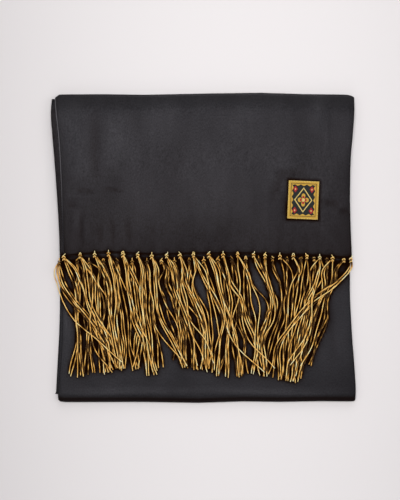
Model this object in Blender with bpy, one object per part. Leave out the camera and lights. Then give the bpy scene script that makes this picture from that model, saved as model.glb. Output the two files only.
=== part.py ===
"""A folded silk dress scarf with a knotted fringe at each end and a woven label.

The scarf is a long flat tube of silk, two layers thick. It is folded end to end, so that an outer and an inner
layer run together, and then rolled flat: from the front hem up over the top fold, down the back, round the bottom
fold and up again inside. The inner layer takes the shorter way round, so its hem comes out below the outer one.

Everything is in metres. The scarf lies on the surface z = 0, its hems are towards -Y, and the origin is the middle
of its footprint.
"""

import math
from collections import namedtuple

import bmesh
import bpy
import numpy as np
from mathutils import Matrix, Vector


def table(columns, *rows):
    """A short table, whose rows have these named columns."""
    row = namedtuple("Row", columns)
    return [row(*values) for values in rows]


MILLIMETRE = 0.001

# Cloth
TUBE_THICKNESS = 0.0012  # a run of the flattened tube
SEAM_GAP = 0.0003  # between neighbouring runs and pieces
PITCH = TUBE_THICKNESS + SEAM_GAP
HIDDEN_HEIGHT = 0.0030  # the two hidden runs together
LOWER_HEIGHT = 2 * PITCH + HIDDEN_HEIGHT  # top of the lower panel
FRONT_HEIGHT = LOWER_HEIGHT + 2 * PITCH  # top of the front panel
HALF_LENGTH = 0.1552  # from the middle of the footprint to a fold

# The top fold is soft: the front panel sinks towards it over TOP_RUN before it turns down.
TOP_RUN = 0.032
TOP_DROP = 0.0027
BOTTOM_RUN = 0.010
BOTTOM_DROP = 0.0005
SINK_POWER = 3.3
INNER_FOLD_START = 0.1500  # where the inner layer leaves the outer one inside the top fold
INNER_FOLD_ANGLE = -15  # where that fold ends, in degrees from level
LOWER_PANEL_END = 0.1410  # the end of the outer layer's last run, inside the roll
BACK_SEAM = 0.1470  # where the back panel meets the two folds, on the underside
BEND_START = BACK_SEAM / 2  # from here on, a run's points follow the fold line
ARC_STEPS = 8
SINK_STEPS = 6
PANEL_STEPS = 4
LOWER_PANEL_STEPS = 6
BACK_STEPS = 8

# Left and right edge of each run
FRONT_SIDES = table(
    "y left right",
    (0.1552, -0.1484, 0.1507),
    (0.1493, -0.1484, 0.1507),
    (0.1380, -0.1474, 0.1507),
    (0.1170, -0.1451, 0.1498),
    (0.0970, -0.1434, 0.1478),
    (0.0670, -0.1419, 0.1465),
    (0.0300, -0.1404, 0.1473),
    (-0.0100, -0.1394, 0.1487),
)
LOWER_SIDES = table(
    "y left right",
    (0.1400, -0.1440, 0.1480),
    (0.0300, -0.1415, 0.1462),
    (-0.0500, -0.1408, 0.1465),
    (-0.0920, -0.1414, 0.1488),
    (-0.1130, -0.1430, 0.1506),
    (-0.1330, -0.1446, 0.1519),
    (-0.1440, -0.1456, 0.1525),
    (-0.1552, -0.1458, 0.1518),
)
BACK_SIDES = table(
    "y left right",
    (0.1480, -0.1484, 0.1507),
    (0.0970, -0.1438, 0.1476),
    (0.0000, -0.1402, 0.1458),
    (-0.0920, -0.1416, 0.1484),
    (-0.1480, -0.1457, 0.1520),
)
UNDER_SIDES = table(
    "y left right",
    (0.1500, -0.1516, 0.1490),
    (0.1370, -0.1525, 0.1490),
    (0.1170, -0.1514, 0.1484),
    (0.0970, -0.1497, 0.1466),
    (0.0670, -0.1476, 0.1453),
    (0.0300, -0.1453, 0.1461),
    (-0.0130, -0.1438, 0.1470),
)
HIDDEN_SIDES = table(
    "y left right",
    (0.1450, -0.1500, 0.1485),
    (0.0970, -0.1486, 0.1462),
    (0.0300, -0.1446, 0.1458),
    (-0.0500, -0.1435, 0.1455),
    (-0.0930, -0.1441, 0.1478),
    (-0.1130, -0.1457, 0.1496),
    (-0.1410, -0.1473, 0.1508),
    (-0.1478, -0.1467, 0.1500),
)

# Fold lines and hems across the scarf
TOP_FOLD = table(
    "x y",
    (-0.1484, 0.1500),
    (-0.1470, 0.1516),
    (-0.1440, 0.1535),
    (-0.1000, 0.1538),
    (-0.0600, 0.1532),
    (0.0100, 0.1546),
    (0.0570, 0.1552),
    (0.1000, 0.1539),
    (0.1400, 0.1533),
    (0.1470, 0.1523),
    (0.1507, 0.1502),
)
BOTTOM_FOLD = table(
    "x y",
    (-0.1458, -0.1510),
    (-0.1440, -0.1533),
    (-0.1380, -0.1545),
    (-0.0600, -0.1543),
    (-0.0050, -0.1552),
    (0.0400, -0.1538),
    (0.0770, -0.1543),
    (0.1150, -0.1536),
    (0.1480, -0.1538),
    (0.1518, -0.1515),
)
FRONT_HEM = table(
    "x y",
    (-0.1400, -0.0080),
    (-0.0960, -0.0040),
    (-0.0480, -0.0067),
    (-0.0060, -0.0054),
    (0.0440, -0.0054),
    (0.0720, -0.0067),
    (0.1020, -0.0072),
    (0.1487, -0.0102),
)
UNDER_HEM = table(
    "x y",
    (-0.1450, -0.0122),
    (-0.0480, -0.0122),
    (-0.0060, -0.0112),
    (0.0440, -0.0096),
    (0.1020, -0.0090),
    (0.1487, -0.0108),
)

# Columns of points across a run: so far in from each side, and at each bend of the hems between them
EDGE_COLUMNS = (0.0, 0.0008, 0.0035, 0.0140)
MIDDLE_COLUMNS = [row.x for row in FRONT_HEM[1:-1]]
EDGE_PINCH = 0.35  # the share of the wall's thickness that is left at the tube's long edges

# The hidden layers' side edge, from the lowest point up: how far in it is, and its share of their height
LAYER_EDGE = table(
    "inset up",
    (0.0012, 0.00),
    (0.0000, 0.14),
    (0.0000, 0.36),
    (0.0014, 0.50),
    (0.0006, 0.64),
    (0.0006, 0.86),
    (0.0016, 1.00),
)
# The rounding of their two ends: how far in, and the share of their height there
LAYER_END = table(
    "inset height",
    (0.0000, 0.45),
    (0.0004, 0.75),
    (0.0014, 1.00),
)
HIDDEN_ENDS = (-0.1478, 0.1450)
HIDDEN_MIDDLE = (*np.linspace(-0.141, 0.115, 8), 0.125, 0.134)

# Woven label, turned a little clockwise
LABEL_WIDTH = 0.0312
LABEL_LENGTH = 0.0386
LABEL_THICKNESS = 0.0006
LABEL_CENTRE = (0.1000, 0.0480)
LABEL_TURN = math.radians(-2.5)
LABEL_BEVEL = 0.0002

# Knots
KNOT_LENGTH = 0.0044
KNOT_HALF_WIDTH = 0.0021
KNOT_HALF_HEIGHT = 0.0017
KNOT_SIDES = 6
KNOT_RINGS = table(
    "along radius",
    (0.00, 0.62),
    (0.28, 1.00),
    (0.68, 1.00),
    (1.00, 0.70),
)
LOOP_REACH = 0.0034  # how far the cord's loop lies on the cloth above the hem
LOOP_SIZE = 0.0011

# Locks of cord: three-sided, four to a tassel, from two levels inside its knot
LOCK_WIDTH = 0.0014
LOCK_HEIGHT = 0.0010
LOCK_SECTION = (
    (-LOCK_WIDTH / 2, -LOCK_HEIGHT / 3),
    (LOCK_WIDTH / 2, -LOCK_HEIGHT / 3),
    (0, LOCK_HEIGHT * 2 / 3),
)
LOCK_ROOTS = table(
    "sideways up fan",
    (-0.00135, -0.00075, -1.0),
    (0.00045, -0.00075, 0.33),
    (-0.00045, 0.00075, -0.33),
    (0.00135, 0.00075, 1.0),
)
LOCK_STEPS = (0.0, 0.05, 0.20, 0.40, 0.60, 0.80, 1.0)
LOCK_LENGTH = 0.1150
LOCK_UNEVEN = 0.0050
FAN_ROOT = 0.0026  # half the locks' spread just past the knot
FAN_MIDDLE = 0.85  # the share of the tips' spread that they have halfway

# How each tassel lies, in millimetres: its knot's place along X, and how far from it the locks are
# at LEAD_AT, MIDDLE_AT and the whole of their length, and half their spread at the tips
LEAD_AT = 0.15
MIDDLE_AT = 0.42
FRONT_TASSELS = table(
    "knot lead middle tip spread",
    (-139.0, 5, 15, 16, 5),
    (-122.8, 4, 14, 18, 5),
    (-108.4, 6, 14, 24, 5),
    (-94.6, 2, 10, 13, 5),
    (-80.2, 5, 19, 20, 5),
    (-65.4, 4, 7, 14, 5),
    (-51.5, 2, 5, 33, 4),
    (-36.7, 4, 12, 28, 4),
    (-23.4, 3, 10, 24, 5),
    (-9.9, 4, 11, 18, 5),
    (5.4, 5, 16, 22, 5),
    (19.6, 3, 10, 15, 5),
    (34.1, 6, 12, 18, 5),
    (49.9, 8, 17, 3, 5),
    (61.4, 3, 10, 1, 5),
    (76.2, 5, 11, 7, 5),
    (89.6, 1, 1, -2, 5),
    (103.0, -2, -7, -9, 5),
    (115.9, -3, -11, -20, 5),
    (128.6, -2, -8, -22, 5),
    (147.0, -8, -30, -58, 19),
)
UNDER_TASSELS = table(
    "knot lead middle tip spread",
    (-143.8, -5, 14, 62, 7),
    (-126.1, 0, 0, 3, 6),
    (-114.2, 1, 5, 4, 5),
    (-99.8, -2, 3, 1, 5),
    (-86.0, 4, 12, 16, 5),
    (-71.1, 1, 3, 8, 6),
    (-56.4, 2, 8, 5, 5),
    (-41.9, 0, 6, 24, 5),
    (-29.0, 2, 8, 4, 5),
    (-14.2, 3, 9, 16, 5),
    (0.4, 4, 12, 12, 5),
    (14.4, 3, 8, 9, 6),
    (28.2, 3, 11, 13, 5),
    (42.2, -3, -8, -6, 5),
    (55.1, 6, 13, -3, 5),
    (69.0, 6, 9, -5, 5),
    (83.6, 1, 2, -3, 6),
    (97.3, -1, -4, -6, 5),
    (110.2, -2, -7, -12, 5),
    (122.9, -2, -8, -16, 5),
    (139.8, -4, -10, -28, 5),
)

# Finishes: name, colour and roughness
SILK = ("black silk", (0.030, 0.029, 0.032), 0.42)
GOLD = ("gold cord", (0.60, 0.37, 0.08), 0.48)
WOVEN = ("woven label", (0.52, 0.36, 0.10), 0.60)
SMOOTH_ANGLE = math.radians(35)


def clear_scene():
    for thing in list(bpy.data.objects):
        bpy.data.objects.remove(thing)


def material(name, colour, roughness):
    found = bpy.data.materials.get(name)
    if found:
        return found
    made = bpy.data.materials.new(name)
    made.use_nodes = True
    shader = made.node_tree.nodes["Principled BSDF"]
    shader.inputs["Base Color"].default_value = (*colour, 1)
    shader.inputs["Roughness"].default_value = roughness
    shader.inputs["Metallic"].default_value = 0
    return made


def new_object(name, shape, finish):
    """A mesh object from a bmesh, which is freed."""
    bmesh.ops.recalc_face_normals(shape, faces=shape.faces)
    mesh = bpy.data.meshes.new(name)
    shape.to_mesh(mesh)
    shape.free()
    mesh.shade_smooth()
    mesh.set_sharp_from_angle(angle=SMOOTH_ANGLE)
    mesh.materials.append(material(*finish))
    made = bpy.data.objects.new(name, mesh)
    bpy.context.scene.collection.objects.link(made)
    return made


def between(rows, at, column="y"):
    """A table's column, read between its rows by its first column."""
    rows = sorted(rows)
    return np.interp(at, [row[0] for row in rows], [getattr(row, column) for row in rows])


def edges(sides, y):
    return between(sides, y, "left"), between(sides, y, "right")


def bridge_rows(shape, rows):
    """Faces between each two neighbouring rows of points."""
    for here, there in zip(rows, rows[1:]):
        for a, b, c, d in zip(here, here[1:], there[1:], there):
            shape.faces.new((a, b, c, d))


def bridge_rings(shape, rings):
    """Faces round each two neighbouring rings of points."""
    bridge_rows(shape, [[*ring, ring[0]] for ring in rings])


def close_wall(shape, upper, lower):
    """Faces over the rows of a wall's two skins, and round its four edges."""
    for skin in (upper, lower):
        bridge_rows(shape, skin)
    for edge in (0, -1):
        bridge_rows(shape, [[row[edge] for row in skin] for skin in (upper, lower)])
        bridge_rows(shape, [skin[edge] for skin in (upper, lower)])


def closed_tube(shape, rings):
    bridge_rings(shape, rings)
    shape.faces.new(rings[0])
    shape.faces.new(reversed(rings[-1]))


# Lines in a run's cross-section are lists of (y, z) points, and a fold is made at the +Y end.


def flat_line(start, stop, height, steps):
    return [(y, height) for y in np.linspace(start, stop, steps + 1)]


def sinking_line(height, drop, run):
    """A run's skin where it sinks towards its fold, up to where the arc starts that turns down to z = 0."""
    slope = math.atan(drop * SINK_POWER / run)
    radius = (height - drop) / (1 + math.cos(slope))
    join = HALF_LENGTH - radius * (1 - math.sin(slope))
    shares = np.linspace(0, 1, SINK_STEPS + 1)
    return [(join - run * (1 - share), height - drop * share**SINK_POWER) for share in shares]


def with_arc(line, base, last_angle=-90):
    """The line with an arc added that leaves it smoothly and turns down towards the level base."""
    (y0, z0), (y1, z1) = line[-2:]
    slope = math.atan2(z0 - z1, y1 - y0)
    radius = (z1 - base) / (1 + math.cos(slope))
    centre_y = y1 - radius * math.sin(slope)
    centre_z = z1 - radius * math.cos(slope)
    angles = np.radians(np.linspace(90 - math.degrees(slope), last_angle, ARC_STEPS + 1)[1:])
    return [*line, *zip(centre_y + radius * np.cos(angles), centre_z + radius * np.sin(angles))]


def moved_in(line, distance):
    """A skin's line moved to its inner side, on the right as it runs, with each stretch kept parallel."""
    line = np.array(line, float)
    ahead = np.diff(line, axis=0)
    ahead /= np.linalg.norm(ahead, axis=1)[:, None]
    normals = np.stack([ahead[:, 1], -ahead[:, 0]], axis=1)
    before = np.vstack([normals[:1], normals])
    after = np.vstack([normals, normals[-1:]])
    mitre = (before + after) / (1 + np.sum(before * after, axis=1))[:, None]
    return [tuple(point) for point in line + mitre * distance]


def cut_at(line, y):
    """The line up to y, with a point made at y itself."""
    places, heights = np.array(line, float).T
    kept = [point for point in line if point[0] < y - SEAM_GAP]
    return [*kept, (y, float(np.interp(y, places, heights)))]


def front_sink():
    return sinking_line(FRONT_HEIGHT, TOP_DROP, TOP_RUN)


def front_line():
    """The front panel's skin from its hem to the start of its fold."""
    sink = front_sink()
    return flat_line(0, sink[0][0], FRONT_HEIGHT, PANEL_STEPS)[:-1] + sink


def columns(left, right):
    near = np.array(EDGE_COLUMNS)
    return np.concatenate([left + near, MIDDLE_COLUMNS, right - near[::-1]])


def follow_fold(x, y):
    """A point's y, moved so that the folds follow their fold lines at x."""
    ease = np.clip((abs(y) - BEND_START) / (HALF_LENGTH - BEND_START), 0, 1)
    line = TOP_FOLD if y > 0 else BOTTOM_FOLD
    share = abs(between(line, x)) / HALF_LENGTH
    return y * (1 + (share - 1) * ease)


def follow_hem(hem, x, y):
    """A point's y on a hemmed run, whose line starts at its hem as y = 0: there it follows the hem."""
    flat_end = front_sink()[0][0]
    if y > flat_end:
        return follow_fold(x, y)
    return follow_fold(x, flat_end) * y / flat_end + between(hem, x) * (1 - y / flat_end)


def wall(name, line, sides, hem=None):
    """A run of the tube: a closed wall under the skin whose cross-section is line, between its side edges."""
    shape = bmesh.new()
    upper, lower = [], []
    for (y0, z0), (y1, z1) in zip(line, moved_in(line, TUBE_THICKNESS)):
        across = columns(*edges(sides, (y0 + y1) / 2))
        upper.append([])
        lower.append([])
        for x in across:
            place = (lambda y: follow_hem(hem, x, y)) if hem else (lambda y: follow_fold(x, y))
            high = Vector((x, place(y0), z0))
            low = Vector((x, place(y1), z1))
            pinch = EDGE_PINCH if x in (across[0], across[-1]) else 1
            half = (high - low) / 2 * pinch
            upper[-1].append(shape.verts.new((high + low) / 2 + half))
            lower[-1].append(shape.verts.new((high + low) / 2 - half))
    close_wall(shape, upper, lower)
    return new_object(name, shape, SILK)


def front_panel():
    """The outer layer from its hem, over the top fold, to the underside."""
    line = with_arc(front_line(), base=0) + [(BACK_SEAM, 0)]
    wall("front_panel", line, FRONT_SIDES, FRONT_HEM)


def under_panel():
    """The inner layer from its hem up to its own fold, inside the top one."""
    line = cut_at(moved_in(front_line(), PITCH), INNER_FOLD_START)
    wall("under_panel", with_arc(line, PITCH, INNER_FOLD_ANGLE), UNDER_SIDES, UNDER_HEM)


def lower_panel():
    """The outer layer from the underside, round the bottom fold, and up under the front panel to its end."""
    fold = with_arc(sinking_line(LOWER_HEIGHT, BOTTOM_DROP, BOTTOM_RUN), base=0) + [(BACK_SEAM, 0)]
    line = [(-y, z) for y, z in reversed(fold)]
    inside = cut_at(moved_in(front_sink(), 2 * PITCH), LOWER_PANEL_END)
    line += flat_line(line[-1][0], inside[0][0], LOWER_HEIGHT, LOWER_PANEL_STEPS)[1:-1] + inside
    wall("lower_panel", line, LOWER_SIDES)


def back_panel():
    """The outer layer where it lies on the surface."""
    shape = bmesh.new()
    upper, lower = [], []
    end = BACK_SEAM - SEAM_GAP
    for y in np.linspace(-end, end, BACK_STEPS + 1):
        across = columns(*edges(BACK_SIDES, y))
        upper.append([shape.verts.new((x, follow_fold(x, y), TUBE_THICKNESS)) for x in across])
        lower.append([shape.verts.new((x, follow_fold(x, y), 0)) for x in across])
    close_wall(shape, upper, lower)
    new_object("back_panel", shape, SILK)


def hidden_top(y):
    """The hidden layers' upper level, a gap below the lower panel also where that sinks with the top fold."""
    places, heights = np.array(moved_in(front_sink(), 3 * PITCH)).T
    return np.interp(y, places, heights)


def hidden_layers():
    """The inner layer's two runs that don't show, as one solid with a layered edge."""
    first, last = HIDDEN_ENDS
    stations = [(first + row.inset, row.height) for row in LAYER_END]
    stations += [(y, 1) for y in HIDDEN_MIDDLE]
    stations += [(last - row.inset, row.height) for row in reversed(LAYER_END)]
    shape = bmesh.new()
    rings = []
    for y, height in stations:
        middle = (PITCH + hidden_top(y)) / 2
        half = (hidden_top(y) - PITCH) / 2 * height
        left, right = edges(HIDDEN_SIDES, y)
        profile = [(row.inset, middle + half * (2 * row.up - 1)) for row in LAYER_EDGE]
        across = columns(left, right)[2:-2]
        ring = [(left + inset, z) for inset, z in profile]
        ring += [(x, middle + half) for x in across]
        ring += [(right - inset, z) for inset, z in reversed(profile)]
        ring += [(x, middle - half) for x in reversed(across)]
        rings.append([shape.verts.new((x, follow_fold(x, y), z)) for x, z in ring])
    bridge_rings(shape, rings)
    cap_layers(shape, rings[0])
    cap_layers(shape, rings[-1])
    new_object("hidden_layers", shape, SILK)


def cap_layers(shape, ring):
    """Closes an end of the hidden layers: a face for each side's layered edge, and a strip between them."""
    side = len(LAYER_EDGE)
    half = len(ring) // 2
    left, above = ring[:side], ring[side:half]
    right, below = ring[half : half + side], ring[half + side :]
    bridge_rows(shape, [above, below[::-1]])
    shape.faces.new((*left, above[0], below[-1]))
    shape.faces.new((above[-1], *right, below[0]))


def label():
    shape = bmesh.new()
    bmesh.ops.create_cube(shape, size=1)
    scale = Matrix.Diagonal((LABEL_WIDTH, LABEL_LENGTH, LABEL_THICKNESS, 1))
    bmesh.ops.transform(shape, matrix=scale, verts=shape.verts)
    bmesh.ops.bevel(shape, geom=shape.edges[:], offset=LABEL_BEVEL, segments=1, affect="EDGES")
    made = new_object("label", shape, WOVEN)
    made.location = (*LABEL_CENTRE, FRONT_HEIGHT + SEAM_GAP + LABEL_THICKNESS / 2)
    made.rotation_euler = (0, 0, LABEL_TURN)


class Pile:
    """The height of all that is laid so far, on a fine grid over the fringe, so that locks lie on each other."""

    CELL = 0.0003
    LOW = (-0.165, -0.150)
    HIGH = (0.165, 0.020)

    def __init__(self):
        self.x = np.arange(self.LOW[0], self.HIGH[0], self.CELL)
        self.y = np.arange(self.LOW[1], self.HIGH[1], self.CELL)
        x, y = np.meshgrid(self.x, self.y)
        self.height = np.zeros(x.shape)
        for sides, level in ((HIDDEN_SIDES, LOWER_HEIGHT - PITCH), (LOWER_SIDES, LOWER_HEIGHT)):
            left, right = edges(sides, y)
            self.height[(x > left) & (x < right)] = level
        self.height[y > between(UNDER_HEM, x)] = FRONT_HEIGHT - PITCH
        self.height[y > between(FRONT_HEM, x)] = FRONT_HEIGHT

    def near(self, a, b, reach):
        """The part of the grid round the line from a to b, its cells within reach, and how far along they are."""
        low = np.minimum(a[:2], b[:2]) - reach
        high = np.maximum(a[:2], b[:2]) + reach
        columns_near = slice(*np.searchsorted(self.x, (low[0], high[0])))
        rows_near = slice(*np.searchsorted(self.y, (low[1], high[1])))
        x, y = np.meshgrid(self.x[columns_near], self.y[rows_near])
        step = b[:2] - a[:2]
        along = np.clip(((x - a[0]) * step[0] + (y - a[1]) * step[1]) / (step @ step), 0, 1)
        away = np.hypot(x - a[0] - along * step[0], y - a[1] - along * step[1])
        return (rows_near, columns_near), away < reach, along

    def highest(self, a, b, reach):
        place, within, _ = self.near(a, b, reach)
        return self.height[place][within].max(initial=0.0)

    def cover(self, a, b, reach, top):
        """Raises the pile to a bar from a to b, whose upper side is top above its line."""
        place, within, along = self.near(a, b, reach)
        level = a[2] + (b[2] - a[2]) * along + top
        self.height[place] = np.where(within, np.maximum(self.height[place], level), self.height[place])


def knot_back(x, hem, pile):
    """The middle of a knot's back end: just off the hem that shows there, on what lies below."""
    y = min(between(hem, x), between(FRONT_HEM, x)) if hem is UNDER_HEM else between(hem, x)
    back = np.array([x, y - SEAM_GAP, 0.0])
    reach = KNOT_HALF_WIDTH + SEAM_GAP / 2
    below = pile.highest(back - (0, reach, 0), back - (0, KNOT_LENGTH, 0), reach)
    back[2] = below + SEAM_GAP + KNOT_HALF_HEIGHT
    return back


def knot(shape, back):
    """The tassel's head: a squat barrel along the cords."""
    rings = []
    level_side = math.sin(math.pi / 3)
    for row in KNOT_RINGS:
        angles = np.arange(KNOT_SIDES) * 2 * math.pi / KNOT_SIDES
        x = back[0] + KNOT_HALF_WIDTH * row.radius * np.cos(angles)
        y = back[1] - KNOT_LENGTH * row.along
        z = back[2] + KNOT_HALF_HEIGHT * row.radius * np.sin(angles) / level_side
        rings.append([shape.verts.new((x[k], y, z[k])) for k in range(KNOT_SIDES)])
    closed_tube(shape, rings)


def tube(shape, line, section):
    """A closed tube with flat ends along a line. section holds its corners, as (sideways, up) offsets."""
    line = [Vector(point) for point in line]
    rings = []
    for before, point, after in zip([line[0], *line], line, [*line[1:], line[-1]]):
        sideways = (after - before).cross(Vector((0, 0, 1))).normalized()
        up = sideways.cross(after - before).normalized()
        rings.append([shape.verts.new(point + sideways * u + up * v) for u, v in section])
    closed_tube(shape, rings)


def hem_loop(shape, back, hem, pile):
    """The cord's loop, which lies on the cloth above the hem and runs down into the knot."""
    cloth = FRONT_HEIGHT
    reach = LOOP_REACH
    edge = back[1] + SEAM_GAP
    if hem is UNDER_HEM:
        cloth -= PITCH
        reach = min(reach, between(FRONT_HEM, back[0]) - edge - 2 * SEAM_GAP)
    if reach < LOOP_SIZE:
        return
    half = LOOP_SIZE / 2
    level = cloth + SEAM_GAP + half
    start = np.array((back[0], edge + reach, level))
    pile.cover(start, start - (0, reach, 0), LOOP_SIZE, half)
    line = [
        start,
        (back[0], edge - SEAM_GAP - half, level),
        (back[0], edge - KNOT_LENGTH / 2, back[2]),
    ]
    tube(shape, line, ((-half, -half), (half, -half), (half, half), (-half, half)))


def lock_line(back, lies, root, length):
    """A lock's points seen from above: it follows how its tassel lies, and fans out from it."""
    lead, middle, tip, spread = (value * MILLIMETRE for value in lies[1:])
    steps = np.array(LOCK_STEPS)
    bend = np.polynomial.Polynomial.fit([0, LEAD_AT, MIDDLE_AT, 1], [0, lead, middle, tip], 3)
    fan = np.interp(steps, (LOCK_STEPS[1], 0.5, 1), (FAN_ROOT, FAN_MIDDLE * spread, spread))
    x = back[0] + bend(steps) + root.fan * fan
    x[:2] = back[0] + root.sideways
    y = back[1] - KNOT_LENGTH / 2 - math.sqrt(length**2 - tip**2) * steps
    return np.stack([x, y, np.full(len(steps), back[2] + root.up)], axis=1)


def lay(line, pile):
    """Sets a lock's heights so that it lies clear of the pile, then adds it to the pile."""
    reach = (LOCK_WIDTH + SEAM_GAP) / 2
    above = LOCK_HEIGHT / 3 + SEAM_GAP
    highest = [pile.highest(a, b, reach) for a, b in zip(line[1:], line[2:])]
    line[1, 2] = max(line[0, 2], highest[0] + above)
    for i in range(2, len(line)):
        line[i, 2] = max(highest[i - 2 : i]) + above
    for a, b in zip(line, line[1:]):
        pile.cover(a, b, reach, LOCK_HEIGHT * 2 / 3)
    return line


def tassel(name, lies, hem, pile, seed):
    """A knot at the hem with its loop and its locks, which are joined into it."""
    chance = np.random.default_rng(seed)
    back = knot_back(lies.knot * MILLIMETRE, hem, pile)
    head = bmesh.new()
    knot(head, back)
    cords = bmesh.new()
    hem_loop(cords, back, hem, pile)
    for root in LOCK_ROOTS:
        length = LOCK_LENGTH + LOCK_UNEVEN * chance.uniform(-1, 1)
        tube(cords, lay(lock_line(back, lies, root, length), pile), LOCK_SECTION)
    pile.cover(back, back - (0, KNOT_LENGTH, 0), KNOT_HALF_WIDTH + SEAM_GAP, KNOT_HALF_HEIGHT)
    added = new_object(name + "_cords", cords, GOLD)
    added.hide_render = True
    added.display_type = "WIRE"
    join = new_object(name, head, GOLD).modifiers.new("join", "BOOLEAN")
    join.operation = "UNION"
    join.object = added


def fringes():
    """Both rows of tassels. The under row is laid first, but its first tassel strays over both rows."""
    pile = Pile()
    under = [("under", number, lies, UNDER_HEM) for number, lies in enumerate(UNDER_TASSELS, 1)]
    front = [("front", number, lies, FRONT_HEM) for number, lies in enumerate(FRONT_TASSELS, 1)]
    for row, number, lies, hem in under[1:] + front + under[:1]:
        tassel(f"{row}_tassel_{number:02d}", lies, hem, pile, seed=number)


def main():
    clear_scene()
    back_panel()
    hidden_layers()
    lower_panel()
    under_panel()
    front_panel()
    label()
    fringes()


main()
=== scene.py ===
"""The looks of the folded silk scarf: two-ply silk, knotted gold cords and a woven label.

Lengths are in millimetres until a mesh is made, which is in metres like the frame. The tables and the lines
of the folded runs follow the solids' own, so each piece lies where its solid does.
"""

import math
from collections import namedtuple

import bpy
import numpy as np
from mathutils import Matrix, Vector


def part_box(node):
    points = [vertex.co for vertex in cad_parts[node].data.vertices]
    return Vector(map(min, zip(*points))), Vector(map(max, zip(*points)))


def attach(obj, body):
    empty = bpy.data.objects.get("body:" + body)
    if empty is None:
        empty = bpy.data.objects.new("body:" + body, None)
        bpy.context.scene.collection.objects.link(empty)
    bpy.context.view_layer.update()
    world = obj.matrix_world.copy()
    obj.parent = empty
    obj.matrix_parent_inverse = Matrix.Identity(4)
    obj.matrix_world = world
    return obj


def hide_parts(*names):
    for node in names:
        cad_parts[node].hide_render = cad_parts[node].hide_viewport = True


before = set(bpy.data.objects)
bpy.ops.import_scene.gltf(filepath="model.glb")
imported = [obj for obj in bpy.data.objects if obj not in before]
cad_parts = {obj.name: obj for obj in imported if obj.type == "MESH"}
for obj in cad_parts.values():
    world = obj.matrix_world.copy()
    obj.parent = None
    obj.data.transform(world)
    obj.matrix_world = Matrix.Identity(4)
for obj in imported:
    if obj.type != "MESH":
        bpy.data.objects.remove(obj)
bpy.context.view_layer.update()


def table(columns, *rows):
    """A short table, whose rows have these named columns."""
    row = namedtuple("Row", columns)
    return [row(*values) for values in rows]


class Fade(namedtuple("Fade", "peak reach")):
    """A value that is highest on a line and fades away from it."""

    def at(self, away):
        return self.peak * np.exp(-((away / self.reach) ** 2))


METRES = 0.001

# Cloth
TUBE = 1.2  # a run of the flattened tube
PLY = 0.26  # one of its two plies
GAP = 0.3  # the air between two runs
PITCH = TUBE + GAP
LOWER_HEIGHT = 6.0
FRONT_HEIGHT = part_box("front_panel")[1].z / METRES
HALF_LENGTH = 155.2
# A run sinks towards its fold: over so far, by so much and so suddenly
TOP_RUN = 32.0
TOP_DROP = 2.2
BOTTOM_RUN = 4.2
BOTTOM_DROP = 0.65
SINK_POWER = 3.3
INNER_FOLD_START = 150.0
INNER_LENGTH = 149.2  # from the middle to the inner layer's bottom fold
MIDDLE_FOLD_START = 138.0  # where the outer layer turns back as the inner one, inside the roll
BACK_SEAM = 147.0  # the back panel lies flat as far as this
BEND_START = BACK_SEAM / 2  # further out, the rows bend to follow the folds' own lines
# How far apart a run's rows of points are
FRONT_ROW = 2.0
LOWER_ROW = 2.1
BACK_ROW = 9.0
HIDDEN_ROW = 12.0
SAME_PLACE = 0.02  # points of two runs that are this close are one

FRONT_SIDES = table(
    "y left right",
    (155.2, -148.4, 150.7), (149.3, -148.4, 150.7), (138, -147.4, 150.7), (117, -145.1, 149.3),
    (97, -143.4, 147.1), (67, -141.9, 145.9), (30, -140.4, 146.8), (-10, -139.4, 148.7),
)
LOWER_SIDES = table(
    "y left right",
    (140, -144, 148), (30, -141.5, 146.2), (-50, -140.8, 146.5), (-92, -141.4, 148.8),
    (-113, -143, 150.6), (-133, -144.8, 151.9), (-144, -145.3, 152.5), (-155.2, -145.3, 151.9),
)
BACK_SIDES = table(
    "y left right",
    (148, -148.4, 150.7), (97, -143.8, 147.6), (0, -140.2, 145.8), (-92, -141.6, 148.4),
    (-148, -145.7, 152),
)
UNDER_SIDES = table(
    "y left right",
    (150, -151.6, 149), (137, -152.5, 149), (117, -151.4, 148.4), (97, -149.2, 145.9),
    (67, -146.8, 144.6), (30, -144.3, 145.6), (-13, -142.6, 147),
)
HIDDEN_SIDES = table(
    "y left right",
    (145, -150, 148.5), (97, -148.6, 146.2), (30, -144.6, 145.8), (-50, -143.5, 145.5),
    (-93, -144.1, 147.8), (-113, -146, 149.6), (-133, -147.4, 150.6), (-149.2, -148.7, 150),
)
HIDDEN_INSET = 0.6  # of the upper hidden run's edges from the lower one's

TOP_FOLD = table(
    "x y",
    (-151.6, 152.7), (-149, 152.2), (-148.4, 150.7), (-147, 151.6), (-144, 153.5), (-100, 153.8),
    (-60, 153.2), (10, 154.6), (57, 155.2), (100, 153.9), (140, 153.4), (144.5, 153.2), (148, 152.4),
    (150.7, 151.1),
)
BOTTOM_FOLD = table(
    "x y",
    (-145.4, -152.2), (-143.8, -153.9), (-138, -154.5), (-60, -154.3), (-5, -155.2), (40, -153.8),
    (77, -154.3), (115, -153.6), (148, -153.8), (150.6, -153.7), (152, -152.8),
)
FRONT_HEM = table(
    "x y",
    (-140, -9.7), (-96, -5.7), (-48, -8.4), (-6, -7.1), (44, -7.1), (72, -8.4), (102, -8.9),
    (148.7, -11.9),
)
UNDER_HEM = table(
    "x y",
    (-145, -12.2), (-48, -12.2), (-6, -11.2), (44, -9.6), (102, -9), (148.7, -10.8),
)

# The rounding of a tube's long edges: so far in from the edge, half its thickness there
EDGE = table(
    "inset half",
    (0, 0), (0.05, 0.17), (0.2, 0.31), (0.5, 0.40), (1.1, 0.46), (2.2, 0.52), (4.2, 0.57), (7, 0.60),
)
OUTER_COLUMNS = 124
INNER_COLUMNS = 60
FAR_PLY_SHARE = 4  # the ply that doesn't show has one column for so many of the other's
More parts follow.
